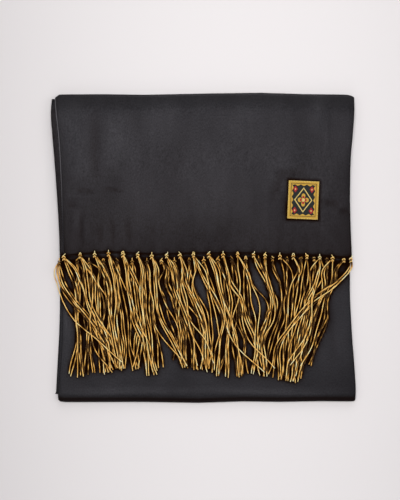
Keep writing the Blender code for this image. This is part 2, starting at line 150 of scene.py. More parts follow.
# The hem: so far in from it, half the tube's thickness there
HEM = table(
    "inset half",
    (0, 0.30), (0.12, 0.42), (0.4, 0.50), (0.9, 0.53), (1.3, 0.51), (1.6, 0.42), (2.1, 0.40), (2.5, 0.50),
    (3, 0.57), (4.5, 0.60),
)
WALL_LEFT = 0.03  # half the air between the plies where they meet
PLY_ROUNDING = 1.1  # the inner surface's edge is rounded over this inset
HEM_ROWS_END = 6.0  # the hem's close rows end so far in from it
HEM_ZONE = 12.0  # here the rows keep their real distance from the hem

# Soft creases: a ridge or a trough from one point to another, so wide and so high
FRONT_CREASES = table(
    "x0 y0 x1 y1 width height",
    (-146, 51.8, -101, 51.4, 1.8, 0.26),
    (-128, 57.5, -108, 56, 2.4, -0.24),
    (-102, 59.6, -79, 56.6, 1.9, -0.24),
    (-128.5, 40, -129, 14, 3.4, 0.24),
    (-122, 38, -122.5, 4, 1.9, -0.22),
    (-117.5, 32, -118, 4, 2.2, 0.20),
    (-138, 43.5, -126, 42.5, 3, -0.22),
    (-104, 26, -102, -2, 2.4, -0.16),
    (-92, 32, -89.5, -4, 2.4, -0.18),
    (-76, 32, -73, -2, 2.8, -0.16),
    (-52, 22, -50, -4, 2.6, -0.12),
    (-131, 150, -129, 64, 10, 0.50),
    (-109, 144, -108, 62, 5.5, -0.24),
    (-90, 146, -88, 84, 11, 0.26),
    (-52, 146, -58, 96, 9, 0.10),
    (-20, 120, -30, 40, 12, -0.06),
    (28, 138, 22, 70, 10, 0.08),
    (52, 96, 66, 20, 9, 0.08),
    (122, 149, 124, 84, 1.8, 0.17),
    (115, 154, 116, 112, 6, 0.30),
    (67, 42, 79, 76, 5, -0.24),
    (72, 74, 103, 75, 5, -0.24),
    (79, 56, 80.5, 30, 1.7, -0.22),
    (116, 46, 137, 43, 3.6, -0.28),
    (135, 36.5, 148, 35.5, 3, -0.26),
    (120, 20, 138, -4, 4, 0.20),
    (64, 84, 96, 83, 3.6, 0.16),
    (-70, 30, -48, 2, 5, 0.16),
    (6, 28, 10, 0, 4, 0.16),
)
LOWER_CREASES = table(
    "x0 y0 x1 y1 width height",
    (-156, -145.8, -10, -146.2, 4.2, 0.26),
    (-40, -146.2, 166, -145.8, 4.2, 0.24),
    (-141, -54, -141, -152, 5.5, 0.22),
    (-118, -60, -112, -138, 5, 0.20),
    (-40, -30, -52, -130, 7, -0.18),
    (34, -70, 40, -141, 6, 0.20),
    (92, -40, 104, -139, 5, 0.22),
    (126, -20, 131, -120, 4, -0.16),
)
BACK_CREASES = table(
    "x0 y0 x1 y1 width height",
    (-110, 120, -104, 40, 4, 0.22),
    (-60, 20, -72, -90, 5, 0.18),
    (10, 130, 4, 30, 6, 0.20),
    (40, -20, 52, -130, 5, 0.24),
    (90, 110, 96, -10, 4, 0.18),
    (118, -60, 112, -136, 3.5, 0.20),
)
CREASE_WANDER = 0.03
SWELL = 0.10  # the soft unevenness of every run: long waves, and short ones along it
RIPPLE = 0.05
LOWEST_TROUGH = -0.24
PUCKER_DEPTH = 0.20
PUCKER_WIDTH = 2.6
PUCKER_REACH = (9, 7)  # at least, and how much further some reach
HEM_RISE = Fade(0.10, 14)  # the cloth between the knots
LABEL_DENT = Fade(-0.20, 2.2)
LABEL_RAY = 0.07
LABEL_RAY_REACH = 5
PUFF = 1.1
PUFF_START = -8
PUFF_LENGTH = 135
PUFF_HALF_WIDTH = 146
BACK_CREASES_END = 140  # the creases of the back fade out over the last stretch before this
BACK_CREASES_FADE = 12

# The silk's painted shade: 0 in the open, 1 where it is darkest, and below 0 where a highlight is painted
NEAR_HEM = Fade(0.62, 91.0)
BELOW_HEM = Fade(0.42, 22)
LABEL_RIM = Fade(1.0, 2.1)
TOP_BAND = Fade(0.19, 14)  # a painted highlight, from so far below the top fold
TOP_BAND_START = 4
TOP_RIM_SHADE = 0.4
BOTTOM_RIM_SHADE = 0.6
BOTTOM_RIM_WIDTH = 6.6
BOTTOM_RIM_FADE = 2.4
LOWER_SHADE = 0.04
INNER_EDGE_SHADE = 0.45
INNER_EDGE = 0.3
LEFT_HIGHLIGHT = 0.6  # a painted highlight along the left edge, so wide, from so far above the middle
LEFT_HIGHLIGHT_START = 20
LEFT_HIGHLIGHT_FADE = 60
SEAM = 1.85  # the hem's line of stitches, so far above its edge
STITCH_WIDTH = 0.5
HEM_RIM = 0.2
SKIN_SLACK = 0.7  # how much lower than its level a run's skin can lie
TROUGH_SHADE = 0.9  # for each millimetre that a crease lies deep or stands up
RIDGE_LIGHT = 0.30
PUCKER_SHADE = 0.8
CROWDS = (Fade(3.4, 2.4), Fade(2.4, 9.0))  # where cords cover the silk close by and further off

# The fringe. Each tassel hangs from a loop through the hem, and splits into groups of cords side by side.
# A loop is one of LOOPS, mirrored where its side is -1.
FRONT_KNOTS = table(
    "x loop side",
    (-139, "slanting", 1), (-122.8, "arch", 1), (-108.4, "upright", -1), (-94.6, "upright", 1),
    (-80.2, "arch", 1), (-65.4, "slanting", 1), (-51.5, "upright", -1), (-36.7, "hook", 1),
    (-23.4, "slanting", -1), (-9.9, "arch", -1), (5.4, "slanting", 1), (19.6, "upright", 1),
    (34.1, "arch", -1), (49.9, "hook", 1), (61.4, "slanting", 1), (76.2, "upright", 1), (89.6, "arch", 1),
    (103, "hook", -1), (115.9, "upright", -1), (128.6, "slanting", -1), (147, "hook", 1),
)
UNDER_KNOTS = table(
    "x loop side",
    (-143.8, "upright", 1), (-126.1, "slanting", 1), (-114.2, "upright", -1), (-99.8, "arch", 1),
    (-86, "slanting", -1), (-71.1, "upright", 1), (-56.4, "upright", -1), (-41.9, "slanting", 1),
    (-29, "upright", 1), (-14.2, "arch", -1), (0.4, "upright", -1), (14.4, "slanting", 1),
    (28.2, "slanting", -1), (42.2, "arch", 1), (55.1, "upright", 1), (69, "hook", -1),
    (83.6, "upright", 1), (97.3, "slanting", -1), (110.2, "arch", -1), (122.9, "upright", 1),
    (139.8, "slanting", -1),
)
# Where a group of cords passes 20, 36, 52, 72 and 92 mm below the scarf's middle, and where it ends
LEVELS = (-20.0, -36.0, -52.0, -72.0, -92.0)
FRONT_GROUPS = table(
    "tassel cords y20 y36 y52 y72 y92 tip",
    (1, 2, -135, -129, -125.5, -126, -124.5, -123.5),
    (1, 2, -128.5, -122, -117, -109, -104, -96),
    (2, 2, -118, -116, -114, -106, -92, -83),
    (2, 3, -115.5, -107.5, -105, -103.5, -95.5, -91.5),
    (3, 3, -101.5, -94, -93.5, -92.5, -89.5, -82.5),
    (3, 1, -104.5, -103.5, -96, -93, -87.5, -85.5),
    (4, 3, -91, -88, -86, -87.5, -83.5, -81),
    (4, 1, -86.5, -80.5, -74.5, -70.5, -62.5, -54.5),
    (5, 3, -76.5, -75.5, -72, -67, -58, -50),
    (5, 2, -73, -67, -62, -59, -62.5, -66.5),
    (6, 2, -61.5, -62.5, -61.5, -59.5, -58, -53.5),
    (6, 2, -59.5, -59.5, -57.5, -56.5, -52.5, -49.5),
    (7, 3, -47, -47.5, -47, -41.5, -30.5, -17.5),
    (7, 1, -45.5, -44, -39, -29, -24, -16.5),
    (8, 2, -32.5, -29, -25, -16.5, -10.5, -8.5),
    (8, 2, -28.5, -24, -23.5, -14.5, -9, -5),
    (9, 3, -19.5, -17, -8, 0, 1.5, 1),
    (9, 1, -21, -21, -18.5, -4, 4, 7),
    (10, 2, -8, -10, -6.5, 1, 2.5, 1.5),
    (10, 1, -1, 5.5, 9.5, 13, 15.5, 14),
    (10, 2, -4.5, 3, 12, 20, 15.5, 10.5),
    (11, 2, 10, 14.5, 19, 24.5, 24.5, 22),
    (11, 2, 13.5, 16.5, 20.5, 27.5, 32.5, 34.5),
    (12, 2, 23, 27, 38, 43.5, 50, 58.5),
    (12, 1, 22.5, 26.5, 28.5, 27.5, 33.5, 39.5),
    (13, 1, 43, 47.5, 54.5, 56, 54.5, 50.5),
    (13, 1, 41.5, 45.5, 48, 51, 52, 49),
    (13, 1, 35, 36, 34.5, 29, 33.5, 35),
    (14, 1, 56.5, 65, 69, 62.5, 55, 53.5),
    (14, 1, 53.5, 62.5, 68, 63.5, 56.5, 59),
    (15, 2, 62, 65.5, 70, 68, 60.5, 63),
    (16, 1, 79.5, 80, 83.5, 83.5, 80.5, 80.5),
    (16, 1, 86.5, 90, 89.5, 87, 83.5, 79),
    (17, 1, 95, 94.5, 92.5, 90.5, 86.5, 83.5),
    (17, 1, 93.5, 88.5, 85.5, 84, 85, 83),
    (18, 1, 101, 97, 95.5, 91.5, 87.5, 87.5),
    (18, 1, 104.5, 103.5, 98.5, 94, 89, 81),
    (19, 1, 108, 106, 104.5, 103, 99.5, 93.5),
    (19, 2, 116, 111.5, 103.5, 99.5, 94.5, 87.5),
    (19, 1, 119.5, 117, 108.5, 103.5, 99.5, 96.5),
    (20, 2, 121, 120.5, 116.5, 109.5, 102.5, 93.5),
    (20, 1, 128.5, 126.5, 121.5, 116, 110.5, 102),
    (21, 3, 147, 131.5, 110, 91.5, 78, 69),
    (21, 1, 147.5, 134, 114.5, 96, 87.5, 83.5),
)
UNDER_GROUPS = table(
    "tassel cords y20 y36 y52 y72 y92 tip",
    (1, 3, -145.3, -142.8, -132.2, -114.5, -103.5, -86.5),
    (1, 2, -143.4, -138.6, -128, -112.5, -99.5, -91.5),
    (2, 2, -125.5, -126, -128, -126.5, -124, -123),
    (2, 1, -122, -119, -120, -119.5, -115.5, -117.5),
    (2, 2, -125.5, -124.5, -125.5, -126.5, -126, -134),
    (3, 2, -112.5, -111.5, -111.5, -114.5, -115, -113.5),
    (3, 1, -105.5, -104, -99.5, -101.5, -111.5, -106.5),
    (4, 1, -99.5, -98.5, -96.5, -100.5, -103.5, -101.5),
    (4, 2, -97.5, -95, -91.5, -93.5, -95.5, -96.5),
    (5, 2, -85, -84.5, -84, -81, -78.5, -77),
    (5, 1, -83.5, -81.5, -79.5, -76, -74.5, -71.5),
    (6, 1, -70.5, -71.5, -73, -73.5, -72.5, -67.5),
    (6, 2, -69.5, -68.5, -66.5, -64.5, -67.5, -64.5),
    (7, 2, -56, -54.5, -51, -49, -46, -41),
    (7, 1, -54.5, -53.5, -53.5, -53.5, -51, -46.5),
    (8, 1, -39, -44.5, -38.5, -33, -28, -17),
    (8, 3, -36.5, -36.5, -29.5, -23.5, -18.5, -16.5),
    (9, 2, -28.5, -26.5, -25, -25.5, -23.5, -26.5),
    (9, 1, -26.5, -22.5, -20.5, -16.5, -13.5, -11),
    (10, 1, -14.5, -10.5, -1.5, 5.5, 6.5, 8),
    (10, 2, -13.5, -15.5, -11.5, -4.5, 0, -2.5),
    (11, 2, 2, 6.5, 13.5, 21, 24.5, 15.5),
    (11, 1, 3, 4.5, 5.5, 7.5, 9.5, 8.5),
    (12, 1, 16.5, 23, 26.5, 25.5, 23.5, 26.5),
    (12, 1, 18, 20, 23.5, 31.5, 39.5, 45.5),
    (13, 2, 32, 34.5, 35.5, 38, 41, 39.5),
    (13, 1, 28.5, 29.5, 32.5, 32.5, 29.5, 30.5),
    (14, 1, 40.5, 39.5, 41.5, 46, 50.5, 49),
    (14, 1, 43.5, 43.5, 45.5, 46.5, 54.5, 64.5),
    (15, 1, 58.5, 64.5, 67.5, 62, 54.5, 54.5),
    (15, 1, 59.5, 66.5, 73.5, 69, 62.5, 67.5),
    (16, 1, 69, 76, 78, 74.5, 66.5, 60.5),
    (16, 1, 70.5, 77.5, 79.5, 76, 69.5, 64),
    (17, 1, 83.5, 84.5, 84.5, 82.5, 80.5, 79),
    (17, 1, 84.5, 82.5, 81, 80.5, 74.5, 73.5),
    (18, 1, 96.5, 99.5, 100.5, 98.5, 95.5, 93.5),
    (18, 1, 98.5, 93.5, 88.5, 90.5, 91.5, 87.5),
    (19, 1, 110.5, 109, 105.5, 101.5, 97.5, 96),
    (19, 1, 112, 107.5, 101, 103.5, 100.5, 89.5),
    (20, 1, 123, 123.5, 117.5, 112.5, 107, 98),
    (20, 1, 124.5, 121.5, 114.5, 107.5, 103.5, 100.5),
    (21, 2, 133, 129.5, 123.5, 122, 112, 105),
    (21, 1, 134, 131, 126, 123.5, 115, 106),
)
# Single cords that lie across all the others, and how much shorter than their neighbours they end
STRAYS = table(
    "row tassel y20 y36 y52 y72 y92 tip short",
    ("under", 1, -147.6, -147, -142, -128, -106.5, -83.5, 3),
    ("under", 3, -112, -111, -111, -113, -111.5, -91.5, 0),
    ("under", 7, -54.5, -53, -51, -49.5, -38.5, -22, 4),
    ("front", 9, -21, -20.5, -17, -13, 1, 6.5, 4),
    ("front", 9, -21, -22, -20, -14, -8.5, 6.5, 2),
    ("front", 11, 11.5, 15.5, 18.5, 22.5, 29, 60.5, 1),
    ("front", 12, 23, 27.5, 36.5, 39.5, 45.5, 72, 12),
    ("under", 14, 43.5, 49, 62.5, 64, 58.5, 59, 2),
    ("front", 19, 116, 112.5, 107.5, 105.5, 102, 87.5, 17),
    ("front", 19, 116.5, 113, 109, 107.5, 105, 90, 15),
)
# Where the fringe ends, along X
TIP_LINE = table(
    "x y",
    (-134, -130), (-122, -131), (-106, -128), (-96, -125), (-82, -122), (-68, -122), (-54, -128),
    (-45, -125), (-37, -118), (-22, -116), (-11, -123), (2, -121), (14, -129), (32, -130), (46, -127),
    (56, -126), (66, -130), (78, -132), (88, -136), (95, -132), (106, -119),
)
TIP_UNEVEN = 5.0  # how much higher than the tip line a cord can end
TIP_SPREAD = 1.8

# Cords
CORD_RADIUS = 0.46
RESTING_RADIUS = CORD_RADIUS * 0.92  # a cord sinks a little into what it lies on
CORD_SIDES = 8
CORD_STEPS = 60
ROUTE_STEPS = 160
LAID_STEPS = 400
ROUTE_LENGTH = 115
END_TONES = np.zeros(CORD_STEPS + 1)
END_TONES[:4] = (-1.3, -1.1, -0.5, -0.2)  # shaded below the knot
END_TONES[-2:] = 0.45  # the cut ends are stiff and pale
TONE_SPREAD = 0.7  # between the darkest and the lightest cord
TONE_DROP = 0.1
STRAY_LIGHT = 0.2
RIGHT_DIMMER = 0.2  # the right third of the fringe is in less light, from this tassel on
RIGHT_TASSEL = 15
DEEP_REACH = 1.9
SIDE_SHADE = 0.34
DEEP_SHADE = 1.6  # for each millimetre that a cord lies deeper than what is round it
# painted glints: how much the tone rises and falls along each cord
GLINTS = 0.5
GLINT_WAVES = (8, 30)
PAIR_APART = (1.6, 2.8)  # two cords, in a tight and in a loose group
TRIO_APART = 1.8
CORD_WANDER = 0.75
CORD_WAVES = (28, 75)
GROUP_WANDER = 0.5
GROUP_WAVES = (50, 95)
WANDER_START = 16
SPREAD_START = 0.6  # the cords' ends spread from this share of their length on
# How loosely a group's cords lie side by side along it, and how soon they come free of the knot
LOOSENING = table("share factor", (0, 0.8), (0.1, 1.0), (0.45, 0.9), (0.8, 1.1), (1, 1.6))
FREEING = table("run share", (0, 0.2), (2, 0.45), (6, 0.7), (16, 1.0))
STEEPEST = 0.42  # how steeply a cord comes down
BRIDGING = 1.6  # how far a cord's bends are smoothed
EYELET = 1.7  # how far above the hem's edge the loops go through it
ROOT_BELOW_HEM = 1.7
ROOT_LENGTH = 3.2
ROOT_HEIGHT = 1.7
ROOT_RADIUS = 1.2
# The knot's cords, as seen from above: across from the knot's middle, and up from the hem
LOOP_RADIUS = 0.38
LOOPS = {
    "upright": ((0.1, 2.3), (0.0, 1.3), (0.0, 0.3), (0.0, -0.9)),
    "slanting": ((1.1, 2.3), (0.7, 1.4), (-0.3, 0.4), (-1.3, -0.6)),
    "hook": ((1.3, 2.8), (1.2, 1.7), (0.8, 0.7), (-0.3, 0.1), (-1.7, -0.6)),
    "arch": ((-1.2, -0.7), (-0.9, 0.6), (-0.2, 1.5), (0.4, 1.5), (0.9, 0.6), (1.1, -0.6)),
}
# the loops' tone is painted pale: a painted highlight where they are lit
LOOP_TONE = (0.6, 0.85)
KNOT_SIZE = (0.76, 0.98)
KNOT_UNEVEN = 0.09
KNOT_STEPS = 15
TUCK = 0.2
WRAP_RADIUS = 0.48
WRAP = ((-1.8, -2.3), (-1.4, -1.4), (-0.5, -0.8), (0.6, -0.8), (1.3, -1.3), (1.6, -2.1))
HEAD_TURN = ((-1.2, -5.0), (-1.1, -4.1), (-0.5, -3.5), (0.4, -3.5), (1.0, -4.1), (1.1, -5.0))
KNOT_TURNS = table("line rise darkest lightest", (WRAP, 2.6, -0.5, 0.8), (HEAD_TURN, 2.3, -0.15, 0.4))
GOLDEN = 0.618  # a share that spreads the knots' tones evenly


def between(rows, at, column="y"):
    """A table's column, read between its rows by its first column."""
    rows = sorted(rows)
    return np.interp(at, [row[0] for row in rows], [getattr(row, column) for row in rows])


def unit(vectors):
    return vectors / np.linalg.norm(vectors, axis=-1, keepdims=True)


def spline(at, places, values):
    """A smooth curve through the values, read at these places."""
    places = np.array(places, float)
    values = np.array(values, float)
    slopes = np.gradient(values, places)
    after = np.clip(np.searchsorted(places, at, side="right"), 1, len(places) - 1)
    width = places[after] - places[after - 1]
    t = (at - places[after - 1]) / width
    rise = values[after] - values[after - 1]
    return (
        values[after - 1]
        + rise * t * t * (3 - 2 * t)
        + slopes[after - 1] * width * t * (1 - t) ** 2
        - slopes[after] * width * t * t * (1 - t)
    )


def waves(chance, at, lengths, size):
    """A gentle wander: the sum of a few sine waves, whose lengths are between the two given."""
    total = np.zeros(len(at))
    for _ in range(3):
        length = chance.uniform(*lengths)
        total += np.sin(2 * math.pi * (at / length + chance.random()))
    return total * size / 2


def length_along(points):
    """How far along a line each of its points is."""
    return np.concatenate([[0], np.cumsum(np.linalg.norm(np.diff(points, axis=0), axis=1))])


def mesh_of(name, points, faces):
    """A smooth mesh from points in millimetres."""
    mesh = bpy.data.meshes.new(name)
    mesh.from_pydata((np.array(points) * METRES).tolist(), [], faces)
    mesh.shade_smooth()
    return mesh


def linked(name, data):
    """A new object in the scene."""
    made = bpy.data.objects.new(name, data)
    bpy.context.scene.collection.objects.link(made)
    return made


def place(mesh, material):
    """A piece of the scarf from a finished mesh, riding on its one body."""
    mesh.materials.append(material)
    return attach(linked(mesh.name, mesh), "root")


def paint(mesh, name, values):
    """A number for each point of the mesh, for the material to read."""
    layer = mesh.attributes.new(name, "FLOAT", "POINT")
    layer.data.foreach_set("value", np.array(values, np.float32))


class Shape:
    """The points, faces, texture places and tones of a mesh that is put together from several bodies."""

    def __init__(self):
        self.points = []
        self.faces = []
        self.corners = []
        self.tones = []

    def add(self, points, faces, corners, tones):
        first = len(self.points)
        self.points += points.tolist()
        self.faces += [[first + index for index in face] for face in faces]
        self.corners += corners
        self.tones += list(tones)

    def make(self, name, material):
        mesh = mesh_of(name, self.points, self.faces)
        layer = mesh.uv_layers.new(name="thread")
        layer.data.foreach_set("uv", np.array([c for face in self.corners for c in face], float).ravel())
        paint(mesh, "tone", self.tones)
        return place(mesh, material)


# Lines in a run's cross-section: points (y, z), with the inside of the tube on the right as they run


def flat_line(start, stop, height, step):
    steps = max(1, round(abs(stop - start) / step))
    return [(y, height) for y in np.linspace(start, stop, steps + 1)]


def sinking_line(height, drop, run, steps):
    """A run's skin where it sinks towards its fold, up to where the arc starts that turns down to z = 0."""
    slope = math.atan(drop * SINK_POWER / run)
    radius = (height - drop) / (1 + math.cos(slope))
    join = HALF_LENGTH - radius * (1 - math.sin(slope))
    shares = np.linspace(0, 1, steps + 1)
    return [(join - run * (1 - share), height - drop * share**SINK_POWER) for share in shares]


def with_arc(line, base, steps=14):
    """The line with a half turn added that leaves it smoothly and comes down to the level base."""
    (y0, z0), (y1, z1) = line[-2:]
    slope = math.atan2(z0 - z1, y1 - y0)
    radius = (z1 - base) / (1 + math.cos(slope))
    centre_y = y1 - radius * math.sin(slope)
    centre_z = z1 - radius * math.cos(slope)
    angles = np.radians(np.linspace(90 - math.degrees(slope), -90, steps + 1)[1:])
    return [*line, *zip(centre_y + radius * np.cos(angles), centre_z + radius * np.sin(angles))]


def inward(line):
    """For each point of a line, the step to the skin one millimetre further in."""
    ahead = unit(np.diff(line, axis=0))
    normals = np.stack([ahead[:, 1], -ahead[:, 0]], axis=1)
    before = np.vstack([normals[:1], normals])
    after = np.vstack([normals, normals[-1:]])
    return (before + after) / (1 + np.sum(before * after, axis=1))[:, None]


def moved_in(line, distance):
    """The line of a run that lies so far inside this one."""
    line = np.array(line, float)
    return [tuple(point) for point in line + inward(line) * distance]


def up_to(line, y):
    """The line's part below y, and its point there."""
    places, heights = np.array(line, float).T
    return [point for point in line if point[0] < y - GAP] + [(y, float(np.interp(y, places, heights)))]


def thinned(line):
    """Every third point of a line that doesn't show, with its last two."""
    return line[:-2:3] + line[-2:]


def front_sink():
    """The front panel's skin where it sinks towards the top fold."""
    return sinking_line(FRONT_HEIGHT, TOP_DROP, TOP_RUN, 20)


def hem_line(stop, height):
    """The flat stretch of a hemmed run, with its first rows close together."""
    rows = [(row.inset, height) for row in HEM]
    return rows + flat_line(HEM_ROWS_END, stop, height, FRONT_ROW)


def mirrored(line):
    """The same fold at the scarf's other end."""
    return [(-y, z) for y, z in reversed(line)]


def follow_fold(x, y):
    """A point's y, moved so that the folds follow their fold lines at x."""
    ease = np.clip((np.abs(y) - BEND_START) / (HALF_LENGTH - BEND_START), 0, 1)
    share = np.where(y > 0, between(TOP_FOLD, x), -between(BOTTOM_FOLD, x)) / HALF_LENGTH
    return y * (1 + (share - 1) * ease)


def follow_hem(hem, x, y):
    """A point's y on a hemmed run, whose line starts at its hem as y = 0: there it follows the hem."""
    flat_end = front_sink()[0][0]
    share = y / flat_end
    # close to the hem the rows keep their distance from it
    near = follow_fold(x, flat_end) * share + between(hem, x) * (1 - share)
    return np.where(y > flat_end, follow_fold(x, y), near)


def crease(x, y, row):
    """One soft ridge or trough, which fades towards its ends."""
    start = np.array((row.x0, row.y0), float)
    step = np.array((row.x1, row.y1), float) - start
    length = np.hypot(*step)
    along = ((x - start[0]) * step[0] + (y - start[1]) * step[1]) / length
    away = ((x - start[0]) * step[1] - (y - start[1]) * step[0]) / length
    share = along / length
    wander = CREASE_WANDER * length * np.sin(share * 5.1 + row.x0) * share * (1 - share)
    fade = np.clip(1 - (2 * share - 1) ** 2, 0, None) ** 0.75
    fade = np.where((along > 0) & (along < length), fade, 0)
    return row.height * fade * Fade(1.0, row.width).at(away - wander)


def all_creases(x, y, creases):
    total = np.zeros(np.shape(x))
    for row in creases:
        total = total + crease(x, y, row)
    return total


def relief(x, y, creases, seed):
    """How far a run stands off its level: its creases over a soft unevenness."""
    total = SWELL * np.sin(x / 23 + y / 61 + seed) * np.sin(y / 31 - x / 87 + 2 * seed)
    total += RIPPLE * np.sin(x / 9.5 + 1.7 * np.sin(y / 26 + seed))
    return np.maximum(total + all_creases(x, y, creases), LOWEST_TROUGH)


def hem_puckers(x, y):
    """The cloth between the knots stands in small waves above the hem, and each cord's hole pulls it down."""
    above = y - between(FRONT_HEM, x)
    total = np.zeros(np.shape(x))
    for knot in FRONT_KNOTS:
        reach = PUCKER_REACH[0] + PUCKER_REACH[1] * math.sin(knot.x * 1.3) ** 2
        away = ((x - knot.x) / PUCKER_WIDTH) ** 2
        total = total - PUCKER_DEPTH * np.exp(-away - (np.maximum(above, 0) / reach) ** 2)
    return total + HEM_RISE.at(above)


LABEL_TURN = -2.5
LABEL_SHIFT = (-0.6, -0.4, 0)
LABEL_TUCK = (0.4, 0.3)


def label_frame():
    """The label's middle, its half sides and the directions along them, from its solid."""
    points = np.array([v.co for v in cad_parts["label"].data.vertices]) / METRES
    middle = (points.max(0) + points.min(0)) / 2 + LABEL_SHIFT
    angle = math.radians(LABEL_TURN)
    along = np.array((math.cos(angle), math.sin(angle)))
    up = np.array((-math.sin(angle), math.cos(angle)))
    half = np.ptp(points[:, :2] @ np.stack([along, up], axis=1), axis=0) / 2
    return middle, half - LABEL_TUCK, along, up


LABEL_MIDDLE, LABEL_HALF, LABEL_ALONG, LABEL_UP = label_frame()


def off_label(x, y):
    """How far a point is from the label's rim, and in which direction from its middle."""
    u = (x - LABEL_MIDDLE[0]) * LABEL_ALONG[0] + (y - LABEL_MIDDLE[1]) * LABEL_ALONG[1]
    v = (x - LABEL_MIDDLE[0]) * LABEL_UP[0] + (y - LABEL_MIDDLE[1]) * LABEL_UP[1]
    out_u = np.abs(u) - LABEL_HALF[0]
    out_v = np.abs(v) - LABEL_HALF[1]
    away = np.hypot(np.maximum(out_u, 0), np.maximum(out_v, 0)) + np.minimum(np.maximum(out_u, out_v), 0)
    return away, np.arctan2(v, u)


def label_pull(x, y):
    """The cloth is drawn in by the stitches round the label."""
    away, turn = off_label(x, y)
    rays = np.sin(turn * 9 + 0.8 * np.sin(turn * 4)) * Fade(1.0, LABEL_RAY_REACH).at(away - 4) * (away > 0)
    return LABEL_DENT.at(away) + LABEL_RAY * rays


def puff(x, y):
    """The loosely folded front panel stands a little higher in its middle than at its edges."""
    along = np.clip((y - PUFF_START) / PUFF_LENGTH, 0, 1)
    across = np.clip(x / PUFF_HALF_WIDTH, -1, 1)
    return PUFF * np.sin(math.pi * along**0.8) ** 2 * (1 - across**4)


def front_relief(x, y):
    total = puff(x, y) + relief(x, y, FRONT_CREASES, 0.4) + hem_puckers(x, y) + label_pull(x, y)
    return np.maximum(total, LOWEST_TROUGH)


def lower_relief(x, y):
    return relief(x, y, LOWER_CREASES, 2.1)


def back_relief(x, y):
    """The underside rests flat, so its creases only lift it."""
    fade = np.clip((BACK_CREASES_END - np.abs(y)) / BACK_CREASES_FADE, 0, 1)
    return np.maximum(relief(x, y, BACK_CREASES, 4.4), 0) * fade


def lift(x, y, z, run):
    """How far a point of a run is lifted. Inside a fold, it fades out towards the underside."""
    if run == "back":
        return back_relief(x, y)
    if run in ("top_fold", "front"):
        return front_relief(x, y) * np.clip(z / (FRONT_HEIGHT - TOP_DROP), 0, 1) ** 2
    if run in ("lower", "bottom_fold"):
        return lower_relief(x, y) * np.clip(z / LOWER_HEIGHT, 0, 1) ** 2
    return np.zeros(np.shape(x))


def skin_of(stretches):
    """Joins the stretches of a tube's skin: its line, its side edges and the run of each point."""
    line, left, right, run = [], [], [], []
    for stretch in stretches:
        for y, z in stretch.line:
            if line and math.dist(line[-1], (y, z)) < SAME_PLACE:
                continue
            line.append((float(y), float(z)))
            left.append(between(stretch.sides, y, "left") + stretch.inset)
            right.append(between(stretch.sides, y, "right") - stretch.inset)
            run.append(stretch.run)
    return np.array(line), eased(left), eased(right), run


def eased(values, reach=3):
    """The values with any step between two runs spread over a few rows."""
    padded = np.pad(np.array(values), reach, mode="edge")
    return np.convolve(padded, np.ones(2 * reach + 1) / (2 * reach + 1), mode="valid")


def ring_columns(width, count, inner):
    """Across a tube: each column's distance from the left edge and its depth, round both plies."""
    insets = np.array([row.inset for row in EDGE])
    halves = np.array([row.half for row in EDGE])
    if inner:
        insets = insets + PLY * (1 - np.clip(insets / PLY_ROUNDING, 0, 1))
        halves = np.where(halves > 0, np.maximum(halves - PLY, WALL_LEFT), 0)
    middle = np.linspace(insets[-1], width - insets[-1], count + 2)[1:-1]
    near = np.concatenate([insets, middle, width - insets[::-1]])
    half = np.concatenate([halves, np.full(count, halves[-1]), halves[::-1]])
    far_middle = middle[FAR_PLY_SHARE // 2 :: FAR_PLY_SHARE]
    far = np.concatenate([insets[1:], far_middle, width - insets[:0:-1]])[::-1]
    far_half = np.concatenate([halves[1:], np.full(len(far_middle), halves[-1]), halves[:0:-1]])
    return np.concatenate([near, far]), np.concatenate([-half, far_half])


def tube_skin(stretches, hem, count, inner):
    """The points of a tube's outer or inner surface, as rings along its line."""
    line, left, right, run = skin_of(stretches)
    step = inward(line)
    rings = []
    hem_end = HEM[-1].inset
    for (y0, z0), (dy, dz), a, b, name in zip(line, step, left, right, run):
        from_left, depth = ring_columns(b - a, count, inner)
        x = a + from_left
        if name == "front" and y0 < hem_end:
            full = between(HEM, y0, "half")
            if inner:
                full = max(full - PLY, WALL_LEFT)
            depth = depth * full / np.abs(depth).max()
        depth = depth + TUBE / 2
        y = y0 + dy * depth
        z = z0 + dz * depth
        place_y = follow_hem(hem, x, y) if name == "front" else follow_fold(x, y)
        if name == "front" and y0 < HEM_ZONE:
            stay = np.clip((HEM_ZONE - y) / HEM_ROWS_END, 0, 1)
            place_y = place_y * (1 - stay) + (between(hem, x) + y) * stay
        rings.append(np.stack([x, place_y, np.maximum(z + lift(x, place_y, z, name), 0)], axis=1))
    return rings


def joined(first, second, size, flip):
    """Faces between two rings of this many points, which start at these ones."""
    faces = []
    for i in range(size):
        j = (i + 1) % size
        face = [first + i, first + j, second + j, second + i]
        faces.append(face[::-1] if flip else face)
    return faces


def ring_faces(rows, size, first, flip):
    """Faces round each two neighbouring rings."""
    starts = [first + row * size for row in range(rows)]
    return [face for pair in zip(starts, starts[1:]) for face in joined(*pair, size, flip)]


def cloth_tube(name, stretches, hem, count, material):
    """The two-ply tube as a thin shell: an outer and an inner surface, joined round both ends."""
    outer = tube_skin(stretches, hem, count, inner=False)
    inner = tube_skin(stretches, hem, count, inner=True)
    rows = len(outer)
    size = len(outer[0])
    faces = ring_faces(rows, size, 0, flip=True)
    faces += ring_faces(rows, size, rows * size, flip=False)
    for row in (0, rows - 1):
        faces += joined(row * size, (rows + row) * size, size, flip=row > 0)
    return place(mesh_of(name, np.concatenate(outer + inner), faces), material)


